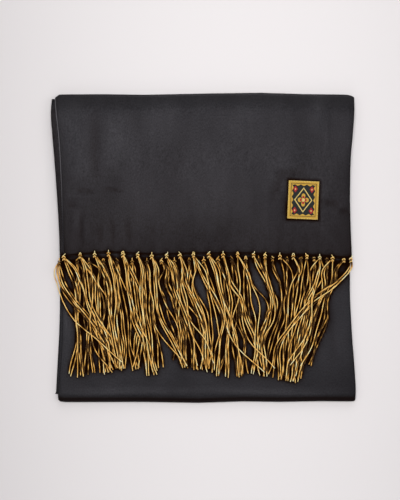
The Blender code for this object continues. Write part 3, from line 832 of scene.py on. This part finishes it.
def silk_outer(material):
    """The outer layer: from the front hem all the way round to the fold inside the roll."""
    sink = front_sink()
    front = hem_line(sink[0][0], FRONT_HEIGHT)[:-1] + sink
    top_fold = with_arc(front[-2:], 0)[2:]
    back = flat_line(BACK_SEAM, -BACK_SEAM, 0, BACK_ROW)
    bottom_sink = sinking_line(LOWER_HEIGHT, BOTTOM_DROP, BOTTOM_RUN, 8)
    bottom_fold = mirrored(with_arc(bottom_sink, 0, 12))
    inside = up_to(moved_in(sink, 2 * PITCH), MIDDLE_FOLD_START)
    seen = flat_line(bottom_fold[-1][0], 0, LOWER_HEIGHT, LOWER_ROW)[1:]
    unseen = flat_line(0, inside[0][0], LOWER_HEIGHT, HIDDEN_ROW)[1:-1]
    middle_fold = with_arc(inside[-2:], inside[-1][1] - 2 * TUBE - GAP, 6)[2:]
    return cloth_tube(
        "silk_outer",
        table(
            "run line sides inset",
            ("front", front, FRONT_SIDES, 0),
            ("top_fold", top_fold, FRONT_SIDES, 0),
            ("back", back, BACK_SIDES, 0),
            ("bottom_fold", bottom_fold, LOWER_SIDES, 0),
            ("lower", seen + unseen + thinned(inside), LOWER_SIDES, 0),
            ("hidden", middle_fold, LOWER_SIDES, 0),
        ),
        FRONT_HEM,
        OUTER_COLUMNS,
        material,
    )


def silk_inner(material):
    """The inner layer: from the under hem round inside the outer one, up to that one's last fold."""
    sink = front_sink()
    run = hem_line(sink[0][0], FRONT_HEIGHT - PITCH)[:-1]
    front = run[:9] + run[9::2] + up_to(moved_in(sink, PITCH), INNER_FOLD_START)
    top_fold = with_arc(front[-2:], PITCH, 10)[2:]
    back = flat_line(top_fold[-1][0] - 4, 4 - INNER_LENGTH, PITCH, HIDDEN_ROW)
    turn = np.radians(np.linspace(270, 90, 9))
    bottom_fold = [*zip(PITCH - INNER_LENGTH + PITCH * np.cos(turn), 2 * PITCH + PITCH * np.sin(turn))]
    inside = up_to(moved_in(sink, 3 * PITCH), MIDDLE_FOLD_START - 1)
    last = flat_line(bottom_fold[-1][0], inside[0][0], 3 * PITCH, HIDDEN_ROW)[1:-1] + thinned(inside)
    return cloth_tube(
        "silk_inner",
        table(
            "run line sides inset",
            ("front", front, UNDER_SIDES, 0),
            ("hidden_fold", top_fold, UNDER_SIDES, 0),
            ("hidden", back, HIDDEN_SIDES, 0),
            ("hidden", bottom_fold, HIDDEN_SIDES, HIDDEN_INSET / 2),
            ("hidden", last, HIDDEN_SIDES, HIDDEN_INSET),
        ),
        UNDER_HEM,
        INNER_COLUMNS,
        material,
    )


def shade_silk(piece, pile):
    """Paints the silk's shade. It is darker where cords cover it, towards and below the hem, along the hem's
    stitches, round the label, at the folds and in the creases' troughs. A highlight is painted on the
    creases' ridges, in a band along the top fold and at the left edge."""
    points = np.array([vertex.co for vertex in piece.data.vertices]) / METRES
    x, y, z = points.T
    outer = piece.name == "silk_outer"
    above = y - between(FRONT_HEM, x)
    below_top = between(TOP_FOLD, x) - y
    on_front = (above > -0.01) & (z > FRONT_HEIGHT - TOP_DROP - SKIN_SLACK) & outer
    on_lower = (above < 0) & (z > LOWER_HEIGHT - BOTTOM_DROP) & outer
    near_hem = NEAR_HEM.peak * np.exp(-np.maximum(above, 0) / NEAR_HEM.reach)
    shade = np.where(on_front, near_hem, BELOW_HEM.at(above) * (above < 0))
    shade += on_front * (np.exp(-(((above - SEAM) / STITCH_WIDTH) ** 4)) + (above < HEM_RIM))
    for crowd in CROWDS:
        shade += crowd.peak * pile.crowding(points, crowd.reach)
    shade += np.clip(1 - below_top, 0, TOP_RIM_SHADE)
    above_rim = y - between(BOTTOM_FOLD, x) - BOTTOM_RIM_WIDTH
    shade += BOTTOM_RIM_SHADE * np.clip(-above_rim / BOTTOM_RIM_FADE, 0, 1)
    shade += on_front * LABEL_RIM.at(off_label(x, y)[0])
    shade = np.clip(shade, 0, 1)
    shade -= on_front * TOP_BAND.at(np.maximum(below_top - TOP_BAND_START, 0))
    folds = on_front * (all_creases(x, y, FRONT_CREASES) + PUCKER_SHADE * hem_puckers(x, y))
    folds += on_lower * all_creases(x, y, LOWER_CREASES)
    shade += LOWER_SHADE * on_lower
    shade += TROUGH_SHADE * np.maximum(-folds, 0) - RIDGE_LIGHT * np.maximum(folds, 0)
    left = x - between(FRONT_SIDES, y, "left")
    shade += INNER_EDGE_SHADE * (left < INNER_EDGE) * (z > LOWER_HEIGHT + 1) * (not outer)
    # a highlight painted along the front's left edge, strongest towards the top
    left_highlight = -np.clip((y - LEFT_HIGHLIGHT_START) / LEFT_HIGHLIGHT_FADE, 0, 1)
    paint(piece.data, "shade", np.where(on_front & (left < LEFT_HIGHLIGHT), left_highlight, shade))


def within(sides, x, y):
    """Whether points lie between a run's side edges."""
    return (x > between(sides, y, "left")) & (x < between(sides, y, "right"))


class Pile:
    """The height of all that is laid so far, on a fine grid over the fringe, so that cords rest on cords."""

    CELL = 0.25
    LOW = np.array((-165.0, -150.0))
    HIGH = np.array((165.0, 20.0))

    def __init__(self):
        x = np.arange(self.LOW[0], self.HIGH[0], self.CELL)
        y = np.arange(self.LOW[1], self.HIGH[1], self.CELL)
        x, y = np.meshgrid(x, y, indexing="ij")
        self.height = np.zeros(x.shape)
        puffed = front_relief(x, y)
        for where, top in (
            (within(HIDDEN_SIDES, x, y), LOWER_HEIGHT - PITCH),
            (within(LOWER_SIDES, x, y), LOWER_HEIGHT + lower_relief(x, y)),
            (y > between(UNDER_HEM, x), FRONT_HEIGHT - PITCH + puffed),
            (y > between(FRONT_HEM, x), FRONT_HEIGHT + puffed),
        ):
            self.height = np.where(where, top, self.height)
        self.bare = self.height.copy()

    def near(self, points, radius):
        """The cells under each of the points, and how far they are from it."""
        reach = math.ceil(radius / self.CELL)
        steps = np.arange(-reach, reach + 1)
        di, dj = (grid.ravel() for grid in np.meshgrid(steps, steps, indexing="ij"))
        cells = (points[:, :2] - self.LOW) / self.CELL
        i = np.rint(cells[:, :1]).astype(int) + di
        j = np.rint(cells[:, 1:2]).astype(int) + dj
        away = np.hypot(i - cells[:, :1], j - cells[:, 1:2]) * self.CELL
        last_i, last_j = np.array(self.height.shape) - 1
        return np.clip(i, 0, last_i), np.clip(j, 0, last_j), away

    def needed(self, points, radius):
        """The lowest height of a round cord's middle at each point, where it touches what lies below."""
        i, j, away = self.near(points, radius)
        half = np.sqrt(np.maximum(radius**2 - away**2, 0))
        return np.where(away < radius, self.height[i, j] + half, 0).max(axis=1)

    def deeper(self, points, reach):
        """How much deeper each point lies than what is round it."""
        i, j, away = self.near(points, reach)
        near = away < reach
        return (self.height[i, j] * near).sum(axis=1) / near.sum(axis=1) - points[:, 2]

    def crowding(self, points, reach):
        """How much of the cloth round each point lies under cords, from 0 to 1."""
        covered = (self.height > self.bare + CORD_RADIUS).astype(float)
        for axis in (0, 1):
            covered = np.apply_along_axis(softened, axis, covered, round(reach / self.CELL))
        cells = np.rint((points[:, :2] - self.LOW) / self.CELL).astype(int)
        inside = np.all((cells >= 0) & (cells < self.height.shape), axis=1)
        i, j = np.where(inside[:, None], cells, 0).T
        return covered[i, j] * inside

    def cover(self, points, radius):
        """Adds a round cord along these points to the pile."""
        i, j, away = self.near(points, radius)
        near = away < radius
        top = points[:, 2:3] + np.sqrt(np.maximum(radius**2 - away**2, 0))
        np.maximum.at(self.height, (i[near], j[near]), top[near])


def tube(shape, line, radius, tone):
    """A round cord with blunt ends. Its tone is one number, or one for each point."""
    sides = CORD_SIDES
    ahead = unit(np.gradient(line, axis=0))
    sideways = np.cross(ahead, (0.0, 0.0, 1.0))
    sideways[np.linalg.norm(sideways, axis=1) < 0.02] = (1.0, 0.0, 0.0)
    sideways = unit(sideways)
    up = np.cross(sideways, ahead)
    turn = np.arange(sides) * 2 * math.pi / sides
    across = sideways[:, None] * np.cos(turn)[None, :, None] + up[:, None] * np.sin(turn)[None, :, None]
    points = (line[:, None] + across * radius).reshape(-1, 3)
    run = length_along(line)
    around = [i / sides for i in range(sides + 1)]
    faces = ring_faces(len(line), sides, 0, flip=True)
    corners = [
        [(left, high), (right, high), (right, low), (left, low)]
        for low, high in zip(run, run[1:])
        for left, right in zip(around, around[1:])
    ]
    last = len(points) - sides
    faces += [list(range(sides)), [last + i for i in reversed(range(sides))]]
    corners += [[(share, end) for share in around[:-1]] for end in (run[0], run[-1])]
    # the sides lie in the shade of their neighbours
    tones = np.add.outer(tone + np.zeros(len(line)), -SIDE_SHADE * np.clip(1 - np.sin(turn), 0, 1) ** 2)
    shape.add(points, faces, corners, tones.ravel())


def cord_route(start, group, aside_by, wander, short, chance):
    """A cord seen from above: it follows its group, and strays a little from it."""
    tip = between(TIP_LINE, group.tip) + short + chance.uniform(-1.0, TIP_UNEVEN)
    places = start[1] - np.array((start[1], *LEVELS, tip))
    at = np.linspace(0, places[-1], ROUTE_STEPS)
    share = at / places[-1]
    middle = spline(at, places, (start[0], group.y20, group.y36, group.y52, group.y72, group.y92, group.tip))
    route = np.stack([middle, start[1] - at], axis=1)
    ahead = unit(np.gradient(route, axis=0))
    aside = np.stack([-ahead[:, 1], ahead[:, 0]], axis=1)
    strays = wander + waves(chance, at, CORD_WAVES, CORD_WANDER)
    spread = np.clip((share - SPREAD_START) / (1 - SPREAD_START), 0, None) ** 2
    strays = strays + chance.normal(0, TIP_SPREAD) * spread
    away = aside_by * between(LOOSENING, share, "factor") + strays * np.clip(at / WANDER_START, 0, 1)
    return route + aside * (away * between(FREEING, at, "share"))[:, None]


def resampled(points, count):
    """Evenly spaced points along a line."""
    run = length_along(points)
    at = np.linspace(0, run[-1], count)
    return np.stack([np.interp(at, run, column) for column in points.T], axis=1)


def softened(values, reach):
    """A moving average that keeps the ends."""
    padded = np.pad(values, reach, mode="edge")
    weights = np.hanning(2 * reach + 3)[1:-1]
    return np.convolve(padded, weights / weights.sum(), mode="valid")


def laid(route, base, pile):
    """A cord's route with heights. It rests on what lies below, bridges dips and comes down from its knot."""
    dense = resampled(route, LAID_STEPS)
    step = np.linalg.norm(dense[1] - dense[0])
    run = np.arange(len(dense)) * step
    needed = pile.needed(dense, RESTING_RADIUS)
    # the roots are drawn tight together in the knot
    tight = run < ROOT_LENGTH
    needed[tight] = np.clip(needed[tight], base + CORD_RADIUS, base + ROOT_HEIGHT)
    fall = run * STEEPEST
    ahead = np.maximum.accumulate(needed + fall) - fall
    behind = np.maximum.accumulate((needed + fall[::-1])[::-1])[::-1] - fall[::-1]
    height = softened(np.maximum(ahead, behind), max(1, round(BRIDGING / step)))
    line = np.column_stack([dense, height])
    pile.cover(line, RESTING_RADIUS)
    return resampled(line, CORD_STEPS + 1)


def smooth_line(points, heights):
    """A smooth curve through a few points, which are given as seen from above, and their heights."""
    points = np.column_stack([points, heights])
    run = length_along(points)
    at = np.linspace(0, run[-1], KNOT_STEPS)
    return np.stack([spline(at, run, column) for column in points.T], axis=1)


def lay_cords(root, groups, short, tone, pile, chance):
    """Lays the cords of these groups over each other, in a chance order, and gives their lines and tones."""
    order = []
    for group in groups:
        wander = waves(chance, np.linspace(0, ROUTE_LENGTH, ROUTE_STEPS), GROUP_WAVES, GROUP_WANDER)
        count = getattr(group, "cords", 1)
        apart = (0, chance.uniform(*PAIR_APART), TRIO_APART)[count - 1]
        order += [(group, apart * (k - (count - 1) / 2), wander) for k in range(count)]
    cords = []
    for index in chance.permutation(len(order)):
        group, aside_by, wander = order[index]
        route = cord_route(root, group, aside_by, wander, short, chance)
        glints = waves(chance, np.linspace(0, ROUTE_LENGTH, CORD_STEPS + 1), GLINT_WAVES, GLINTS)
        line = laid(route, root[2], pile)
        cords.append((line, tone + TONE_SPREAD * chance.random() - TONE_DROP + glints + END_TONES))
    return cords


def knot(shape, middle, hem_y, cloth, base, head, tone, pile, chance):
    """The loop through the hem, a turn of cord below it, and the rounded head that the cords come out of."""
    size = chance.uniform(*KNOT_SIZE)

    def turned(points, side):
        spread = chance.normal(0, KNOT_UNEVEN, (len(points), 2))
        spots = (np.array(points) + spread) * (side * size, size)
        return spots + (middle, hem_y)

    turns = []
    for turn in KNOT_TURNS:
        # it lies over the roots, with both its ends tucked in
        spots = turned(turn.line, chance.choice((-1, 1)))
        bulge = np.sin(np.linspace(0.12, 0.88, len(spots)) * math.pi)
        top = min(pile.needed(spots, WRAP_RADIUS * 0.8).max(), base + turn.rise)
        turns.append(smooth_line(spots, base + TUCK + (top - base - TUCK) * bulge))
        tube(shape, turns[-1], WRAP_RADIUS, tone + chance.uniform(turn.darkest, turn.lightest))
    spots = turned(LOOPS[head.loop], head.side)
    heights = np.interp(spots[:, 1] - hem_y, (-0.9, 0.2), (base + 1.9, cloth + LOOP_RADIUS))
    if head.loop != "arch":
        # its upper end goes down through the hem
        heights[0] -= 0.75
    tube(shape, smooth_line(spots, heights), LOOP_RADIUS, tone + chance.uniform(*LOOP_TONE))
    for line in turns:
        pile.cover(line, WRAP_RADIUS)


# the under row's lower tones are painted shade, for it lies beneath the front row and its hem
Row = namedtuple("Row", "knots groups hem cloth tone knot_tone knot_spread")
ROWS = {
    "front": Row(FRONT_KNOTS, FRONT_GROUPS, FRONT_HEM, FRONT_HEIGHT, 0.20, -0.05, 0.35),
    "under": Row(UNDER_KNOTS, UNDER_GROUPS, UNDER_HEM, FRONT_HEIGHT - PITCH, -0.12, -1.25, 1.1),
}


def tassel(name, number, pile):
    """A tassel's knot, its root, where all its cords come together, and the cords."""
    row = ROWS[name]
    chance = np.random.default_rng(100 * (name == "front") + number)
    head = row.knots[number - 1]
    hem_y = between(row.hem, head.x)
    if name == "front":
        hem_y = hem_y + EYELET
    below = np.array([(head.x, hem_y - away) for away in np.linspace(0.8, 5, 9)])
    base = pile.needed(below, ROOT_RADIUS).max() - ROOT_RADIUS
    root = np.array((head.x, hem_y - ROOT_BELOW_HEM, base))
    shape = Shape()
    groups = [group for group in row.groups if group.tassel == number]
    dimmer = RIGHT_DIMMER * (number >= RIGHT_TASSEL)
    cords = lay_cords(root, groups, 0, row.tone - dimmer, pile, chance)
    cloth = row.cloth + float(front_relief(head.x, hem_y + 2))
    tone = row.knot_tone + row.knot_spread * (GOLDEN * number % 1)
    knot(shape, head.x, hem_y, cloth, base, head, tone, pile, chance)
    return shape, root, cords


def fringes(pile, material):
    """Both rows of tassels. The under row is laid first, but its first tassel strays over both rows."""
    order = [("under", n) for n in range(2, 22)] + [("front", n) for n in range(1, 22)] + [("under", 1)]
    laid_out = {key: tassel(*key, pile) for key in order}
    for number, stray in enumerate(STRAYS):
        _, root, cords = laid_out[stray.row, stray.tassel]
        chance = np.random.default_rng(300 + number)
        cords += lay_cords(root, [stray], stray.short, ROWS[stray.row].tone + STRAY_LIGHT, pile, chance)
    made = {"under": [], "front": []}
    for (name, number), (shape, _, cords) in laid_out.items():
        for line, tones in cords:
            shade = DEEP_SHADE * np.clip(pile.deeper(line, DEEP_REACH) + CORD_RADIUS, 0, 2)
            tube(shape, line, CORD_RADIUS, tones - shade)
        piece = shape.make(f"cords_{name}_{number:02d}", material)
        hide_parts(f"{name}_tassel_{number:02d}")
        made[name].append(piece)
    return made


# Woven label, in its own millimetres: u to the right and v up from its middle
LABEL_CELL = 0.26
LABEL_RISE = 0.62
GOLD_THREAD = (0.56, 0.33, 0.045)
PALE_THREAD = (0.70, 0.53, 0.17)
DARK_THREAD = (0.006, 0.011, 0.012)
RED_THREAD = (0.36, 0.012, 0.018)
LABEL_GROOVE_SHADE = (0.02, 0.012, 0.004, 1)
BORDER = 3.4
NOTCH = 0.8
LOZENGE = (9.2, 12.8)  # its half width and half height
PETAL = 5.6
FLOWER_SQUASH = 0.86
CORNER_PLACE = (8.2, 10.6)
CORNER_HALF = (2.3, 3.4)
LABEL_EDGE = 0.16  # the label's thickness at its rim, and how far it lies off the silk
LABEL_AIR = 0.06
LABEL_ROUNDING = 0.5


def diamond(u, v, half):
    """From 0 in the middle of a diamond to 1 on its sides."""
    return np.abs(u) / half[0] + np.abs(v) / half[1]


def label_design(u, v, edge):
    """A plain ornament: each thread's colour and how far it stands up."""
    colour = np.empty((*u.shape, 3))
    rise = np.zeros(u.shape)

    def lay_thread(where, thread, height):
        colour[where] = thread
        rise[where] = height

    lay_thread(edge > -1, DARK_THREAD, 0.0)
    lay_thread(edge < BORDER, GOLD_THREAD, 0.10)
    # notches along the outer rim and a scalloped inner line
    rim = np.where(LABEL_HALF[0] - np.abs(u) < LABEL_HALF[1] - np.abs(v), v, u)
    lay_thread((edge < NOTCH) & (np.mod(rim, 2 * NOTCH) < NOTCH), PALE_THREAD, 0.14)
    lay_thread((edge > BORDER) & (edge < BORDER + 1.0 + 0.7 * np.cos(rim * 1.05)), GOLD_THREAD, 0.08)
    lay_thread((edge > BORDER - 0.9) & (edge < BORDER - 0.45), DARK_THREAD, 0.04)
    # a thin lozenge with a four-petalled flower, and a red diamond in each corner
    lozenge = diamond(u, v, LOZENGE)
    lay_thread((lozenge > 0.86) & (lozenge < 0.98), PALE_THREAD, 0.08)
    radius = np.hypot(u, v * FLOWER_SQUASH)
    petals = PETAL * np.abs(np.cos(2 * np.arctan2(v * FLOWER_SQUASH, u))) ** 0.55
    lay_thread(radius < petals, GOLD_THREAD, 0.12)
    lay_thread((radius < petals * 0.62) & (radius > 1.2), RED_THREAD, 0.09)
    lay_thread(radius < 1.5, PALE_THREAD, 0.14)
    corner = diamond(np.abs(u) - CORNER_PLACE[0], np.abs(v) - CORNER_PLACE[1], CORNER_HALF)
    lay_thread(corner < 1, RED_THREAD, 0.09)
    lay_thread(corner < 0.35, PALE_THREAD, 0.11)
    return colour, rise


def woven_label(material):
    """The label: a thin woven patch with turned edges, sewn on the front panel."""
    columns, rows = (round(2 * half / LABEL_CELL) + 1 for half in LABEL_HALF)
    sides = [np.linspace(-half, half, count) for half, count in zip(LABEL_HALF, (columns, rows))]
    u, v = np.meshgrid(*sides, indexing="ij")
    edge = np.minimum(LABEL_HALF[0] - np.abs(u), LABEL_HALF[1] - np.abs(v))
    colour, rise = label_design(u, v, edge)
    inside = np.clip(edge / LABEL_ROUNDING, 0, 1)
    weave = 0.02 * np.cos(np.arange(columns) * math.pi)[:, None] * np.cos(np.arange(rows) * math.pi)
    wave = 0.08 * np.sin(u * 0.31 + 1) * np.sin(v * 0.23)
    x, y = (LABEL_MIDDLE[k] + u * LABEL_ALONG[k] + v * LABEL_UP[k] for k in (0, 1))
    base = FRONT_HEIGHT + front_relief(x, y) + LABEL_AIR
    body = (LABEL_RISE - LABEL_EDGE + rise + weave + wave) * np.sqrt(inside * (2 - inside))
    points = [np.stack([x, y, z], axis=-1).reshape(-1, 3) for z in (base + LABEL_EDGE + body, base)]
    index = np.arange(u.size).reshape(u.shape)
    corners = [index[:-1, :-1], index[1:, :-1], index[1:, 1:], index[:-1, 1:]]
    faces = []
    for face in np.stack(corners, axis=-1).reshape(-1, 4).tolist():
        faces += [face, [u.size + k for k in reversed(face)]]
    rim = [*index[:, 0], *index[-1, 1:], *index[-2::-1, -1], *index[0, -2:0:-1]]
    for a, b in zip(rim, rim[1:] + rim[:1]):
        faces.append([a, u.size + a, u.size + b, b])
    mesh = mesh_of("woven_label", np.concatenate(points), faces)
    threads = mesh.color_attributes.new("threads", "FLOAT_COLOR", "POINT")
    shades = np.concatenate([colour.reshape(-1, 3)] * 2)
    opaque = np.column_stack([shades, np.ones(len(shades))])
    threads.data.foreach_set("color", opaque.astype(np.float32).ravel())
    piece = place(mesh, material)
    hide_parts("label")
    return piece


# Materials


SILK_DEEP = (0.0060, 0.0054, 0.0060, 1)
SILK_PALE = (0.0088, 0.0083, 0.0094, 1)
SILK_SHADED = (0.0060, 0.0018, 0.0004, 1)
SILK_PAINTED_HIGHLIGHT = (0.085, 0.081, 0.086, 1)
SILK_SHINE = (0.93, 0.90, 1.0, 1)
CORD_DEEP = (0.93, 0.45, 0.072, 1)
CORD_LIGHT = (0.99, 0.77, 0.31, 1)
CORD_SHADED = (0.035, 0.010, 0.001, 1)
CORD_CUT_END_AND_HIGHLIGHT = (0.93, 0.86, 0.52, 1)
CORD_GROOVE_SHADE = (0.13, 0.05, 0.012, 1)
CORD_SHINE = (1.0, 0.80, 0.40, 1)
CORD_SHEEN = (1.0, 0.72, 0.35, 1)
CORD_TWIST = 2.6  # one turn of the cord's two strands
PAPER_SHADED_SIDE = (0.55, 0.524, 0.526, 1)
PAPER = (0.765, 0.731, 0.733, 1)


class Nodes:
    """A material's node tree, with short ways to add and link nodes."""

    def __init__(self, name):
        self.material = bpy.data.materials.new(name)
        self.material.use_nodes = True
        self.tree = self.material.node_tree

    def feed(self, node, inputs):
        """Links or sets these inputs of a node, by their names or places."""
        for name, value in inputs.items():
            socket = node.inputs[name]
            if isinstance(value, bpy.types.NodeSocket):
                self.tree.links.new(value, socket)
            else:
                socket.default_value = value

    def add(self, kind, inputs, output=0, **settings):
        """A new node's output of this name or place."""
        node = self.tree.nodes.new("ShaderNode" + kind)
        for name, value in settings.items():
            setattr(node, name, value)
        self.feed(node, inputs)
        return node.outputs[output]

    def math(self, operation, *values):
        return self.add("Math", dict(enumerate(values)), operation=operation)

    def scaled(self, value, factor, shift=0.0):
        return self.math("MULTIPLY_ADD", value, factor, shift)

    def clamp(self, value):
        return self.add("Clamp", {0: value})

    def mix(self, factor, a, b):
        return self.add("Mix", {0: factor, 6: a, 7: b}, 2, data_type="RGBA")

    def painted(self, name):
        """The number that paint() gave each point."""
        return self.add("Attribute", {}, "Fac", attribute_name=name)

    def place(self):
        return self.add("TexCoord", {}, "Object")

    def noise(self, scale, detail):
        """Noise with a scale for each axis."""
        stretched = self.add("Mapping", {"Vector": self.place(), "Scale": scale})
        return self.add("TexNoise", {"Vector": stretched, "Scale": 1.0, "Detail": detail})

    def bump(self, height, strength, distance):
        return self.add("Bump", {"Strength": strength, "Distance": distance, "Height": height})

    def shaded(self, **inputs):
        """The material, with these inputs of its shader."""
        shader = self.tree.nodes["Principled BSDF"]
        self.feed(shader, {name.replace("_", " "): value for name, value in inputs.items()})
        return self.material


def silk():
    """Black satin: long fine threads along the scarf, and a soft sheen with faint streaks and clouds."""
    nodes = Nodes("black_silk")
    shade = nodes.painted("shade")
    streaks = nodes.noise((260, 9, 260), 3.0)
    clouds = nodes.noise((28, 17, 28), 2.0)
    grain = nodes.noise((1000, 640, 1000), 3.0)
    warp = nodes.noise((2600, 110, 2600), 2.0)
    weft = nodes.noise((500, 2600, 500), 1.0)
    tone = nodes.scaled(streaks, 0.55, nodes.scaled(clouds, 0.45))
    colour = nodes.mix(shade, nodes.mix(tone, SILK_DEEP, SILK_PALE), SILK_SHADED)
    gloss = nodes.scaled(shade, -0.1345, 0.1365)
    gloss = nodes.math("MULTIPLY", gloss, nodes.scaled(grain, 2.2, -0.1))
    gloss = nodes.math("MULTIPLY", gloss, nodes.scaled(clouds, 1.0, 0.5))
    threads = nodes.scaled(streaks, 0.8, nodes.scaled(weft, 0.35, warp))
    return nodes.shaded(
        # where the painted shade is below 0, a highlight is painted into the colour
        Base_Color=nodes.mix(nodes.clamp(nodes.scaled(shade, -1.0)), colour, SILK_PAINTED_HIGHLIGHT),
        Roughness=nodes.scaled(streaks, 0.10, 0.29),
        Normal=nodes.bump(threads, 0.35, 0.00012),
        Specular_IOR_Level=gloss,
        Specular_Tint=SILK_SHINE,
        Sheen_Weight=0.012,
        Sheen_Roughness=0.35,
    )


def gold_cord():
    """Two-ply rayon cord: pale at its cut ends, with a painted highlight where it is lit at the knots,
    deeper along the cords, with painted shade in its twist.
    """
    nodes = Nodes("gold_cord")
    thread = nodes.add("UVMap", {}, uv_map="thread")
    around, along = (nodes.add("SeparateXYZ", {0: thread}, axis) for axis in "XY")
    turn = nodes.scaled(along, 2 * math.pi / CORD_TWIST, nodes.scaled(around, 4 * math.pi))
    twist = nodes.math("ABSOLUTE", nodes.math("SINE", turn))
    tone = nodes.painted("tone")
    blotches = nodes.noise((190, 60, 190), 3.0)
    light = nodes.clamp(nodes.scaled(blotches, 0.5, nodes.math("ADD", tone, -0.05)))
    deep = nodes.clamp(nodes.scaled(tone, -1.4))
    # pale where the tone is highest: at the cut ends, and as a painted highlight on the lit loops and glints
    cut_end_and_highlight = nodes.clamp(nodes.scaled(tone, 4.0, -3.0))
    colour = nodes.mix(light, CORD_DEEP, CORD_LIGHT)
    colour = nodes.mix(deep, colour, CORD_SHADED)
    colour = nodes.mix(cut_end_and_highlight, colour, CORD_CUT_END_AND_HIGHLIGHT)
    return nodes.shaded(
        # painted shade in the grooves of the twist
        Base_Color=nodes.mix(nodes.scaled(twist, 0.3, 0.7), CORD_GROOVE_SHADE, colour),
        Roughness=0.30,
        Normal=nodes.bump(twist, 0.4, 0.0002),
        Specular_IOR_Level=nodes.scaled(deep, -0.8, 1.0),
        Specular_Tint=CORD_SHINE,
        Sheen_Weight=0.3,
        Sheen_Tint=CORD_SHEEN,
        Sheen_Roughness=0.4,
    )


def label_cloth():
    """The threads' own colours, with painted shade between the threads."""
    nodes = Nodes("label_threads")
    threads = nodes.add("VertexColor", {}, "Color", layer_name="threads")
    fine = nodes.noise((2200, 2200, 2200), 2.0)
    return nodes.shaded(
        Base_Color=nodes.mix(nodes.clamp(nodes.scaled(fine, 1.2, 0.25)), LABEL_GROOVE_SHADE, threads),
        Roughness=0.52,
        Normal=nodes.bump(fine, 0.5, 0.0001),
        Specular_IOR_Level=0.12,
        Sheen_Weight=0.04,
    )


def floor_paper():
    """Pale matt paper, with painted shade that makes it a little darker to both sides."""
    nodes = Nodes("floor_paper")
    across = nodes.add("SeparateXYZ", {0: nodes.place()}, "X")
    aside = nodes.math("POWER", nodes.math("ADD", across, -0.04), 2.0)
    fade = nodes.clamp(nodes.scaled(aside, -9.0, 1.0))
    return nodes.shaded(Base_Color=nodes.mix(fade, PAPER_SHADED_SIDE, PAPER), Roughness=0.9)


# Stage

LENS = 85.0
SENSOR = 36.0
VIEW_CENTRE = (-3.4, -2.2, 5.0)
LONG_SIDE = 500.0  # of the view, on the level of VIEW_CENTRE
FLOOR_REACH = 3000.0


def camera():
    """Straight above the scarf, as far off as its lens needs for the view."""
    data = bpy.data.cameras.new("camera")
    data.lens = LENS
    data.sensor_width = SENSOR
    data.clip_start = 0.01
    made = linked("camera", data)
    height = VIEW_CENTRE[2] + LONG_SIDE * LENS / SENSOR
    made.location = Vector((VIEW_CENTRE[0], VIEW_CENTRE[1], height)) * METRES
    bpy.context.scene.camera = made


def stage():
    corners = [(FLOOR_REACH * x, FLOOR_REACH * y, 0) for x, y in ((-1, -1), (1, -1), (1, 1), (-1, 1))]
    mesh = mesh_of("floor", corners, [(0, 1, 2, 3)])
    mesh.materials.append(floor_paper())
    linked("floor", mesh)


# Area lights, in metres from the scarf's middle
LIGHTS = table(
    "name x y z width length watts",
    ("key", -0.03, 0.135, 1.50, 0.92, 0.75, 14.5),
    ("top", 0.15, 1.55, 0.85, 0.9, 0.9, 8.5),
    ("right", 1.2, 0.1, 0.9, 0.7, 0.7, 3.6),
    ("left", -1, 0.1, 1, 0.3, 0.3, 1.2),
    ("low", -0.1, -1.60, 0.7, 0.8, 0.8, 4.4),
)
SKY = (0.98, 0.975, 1.0)
SKY_STRENGTH = 0.25


def lights():
    """The area lights, which face the scarf, and a dim sky."""
    for row in LIGHTS:
        data = bpy.data.lights.new(row.name, "AREA")
        data.shape = "RECTANGLE"
        data.size = row.width
        data.size_y = row.length
        data.energy = row.watts
        made = linked(row.name, data)
        made.location = (row.x, row.y, row.z)
        made.rotation_mode = "QUATERNION"
        made.rotation_quaternion = (-made.location).to_track_quat("-Z", "Y")
    world = bpy.data.worlds.new("studio")
    world.use_nodes = True
    background = world.node_tree.nodes["Background"]
    background.inputs["Color"].default_value = (*SKY, 1)
    background.inputs["Strength"].default_value = SKY_STRENGTH
    bpy.context.scene.world = world
    bpy.context.scene.view_settings.view_transform = "Standard"


def main():
    camera()
    stage()
    lights()
    black = silk()
    outer = silk_outer(black)
    inner = silk_inner(black)
    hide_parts("front_panel", "lower_panel", "back_panel")
    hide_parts("under_panel", "hidden_layers")
    label = woven_label(label_cloth())
    pile = Pile()
    tassels = fringes(pile, gold_cord())
    for piece in (outer, inner):
        shade_silk(piece, pile)


main()
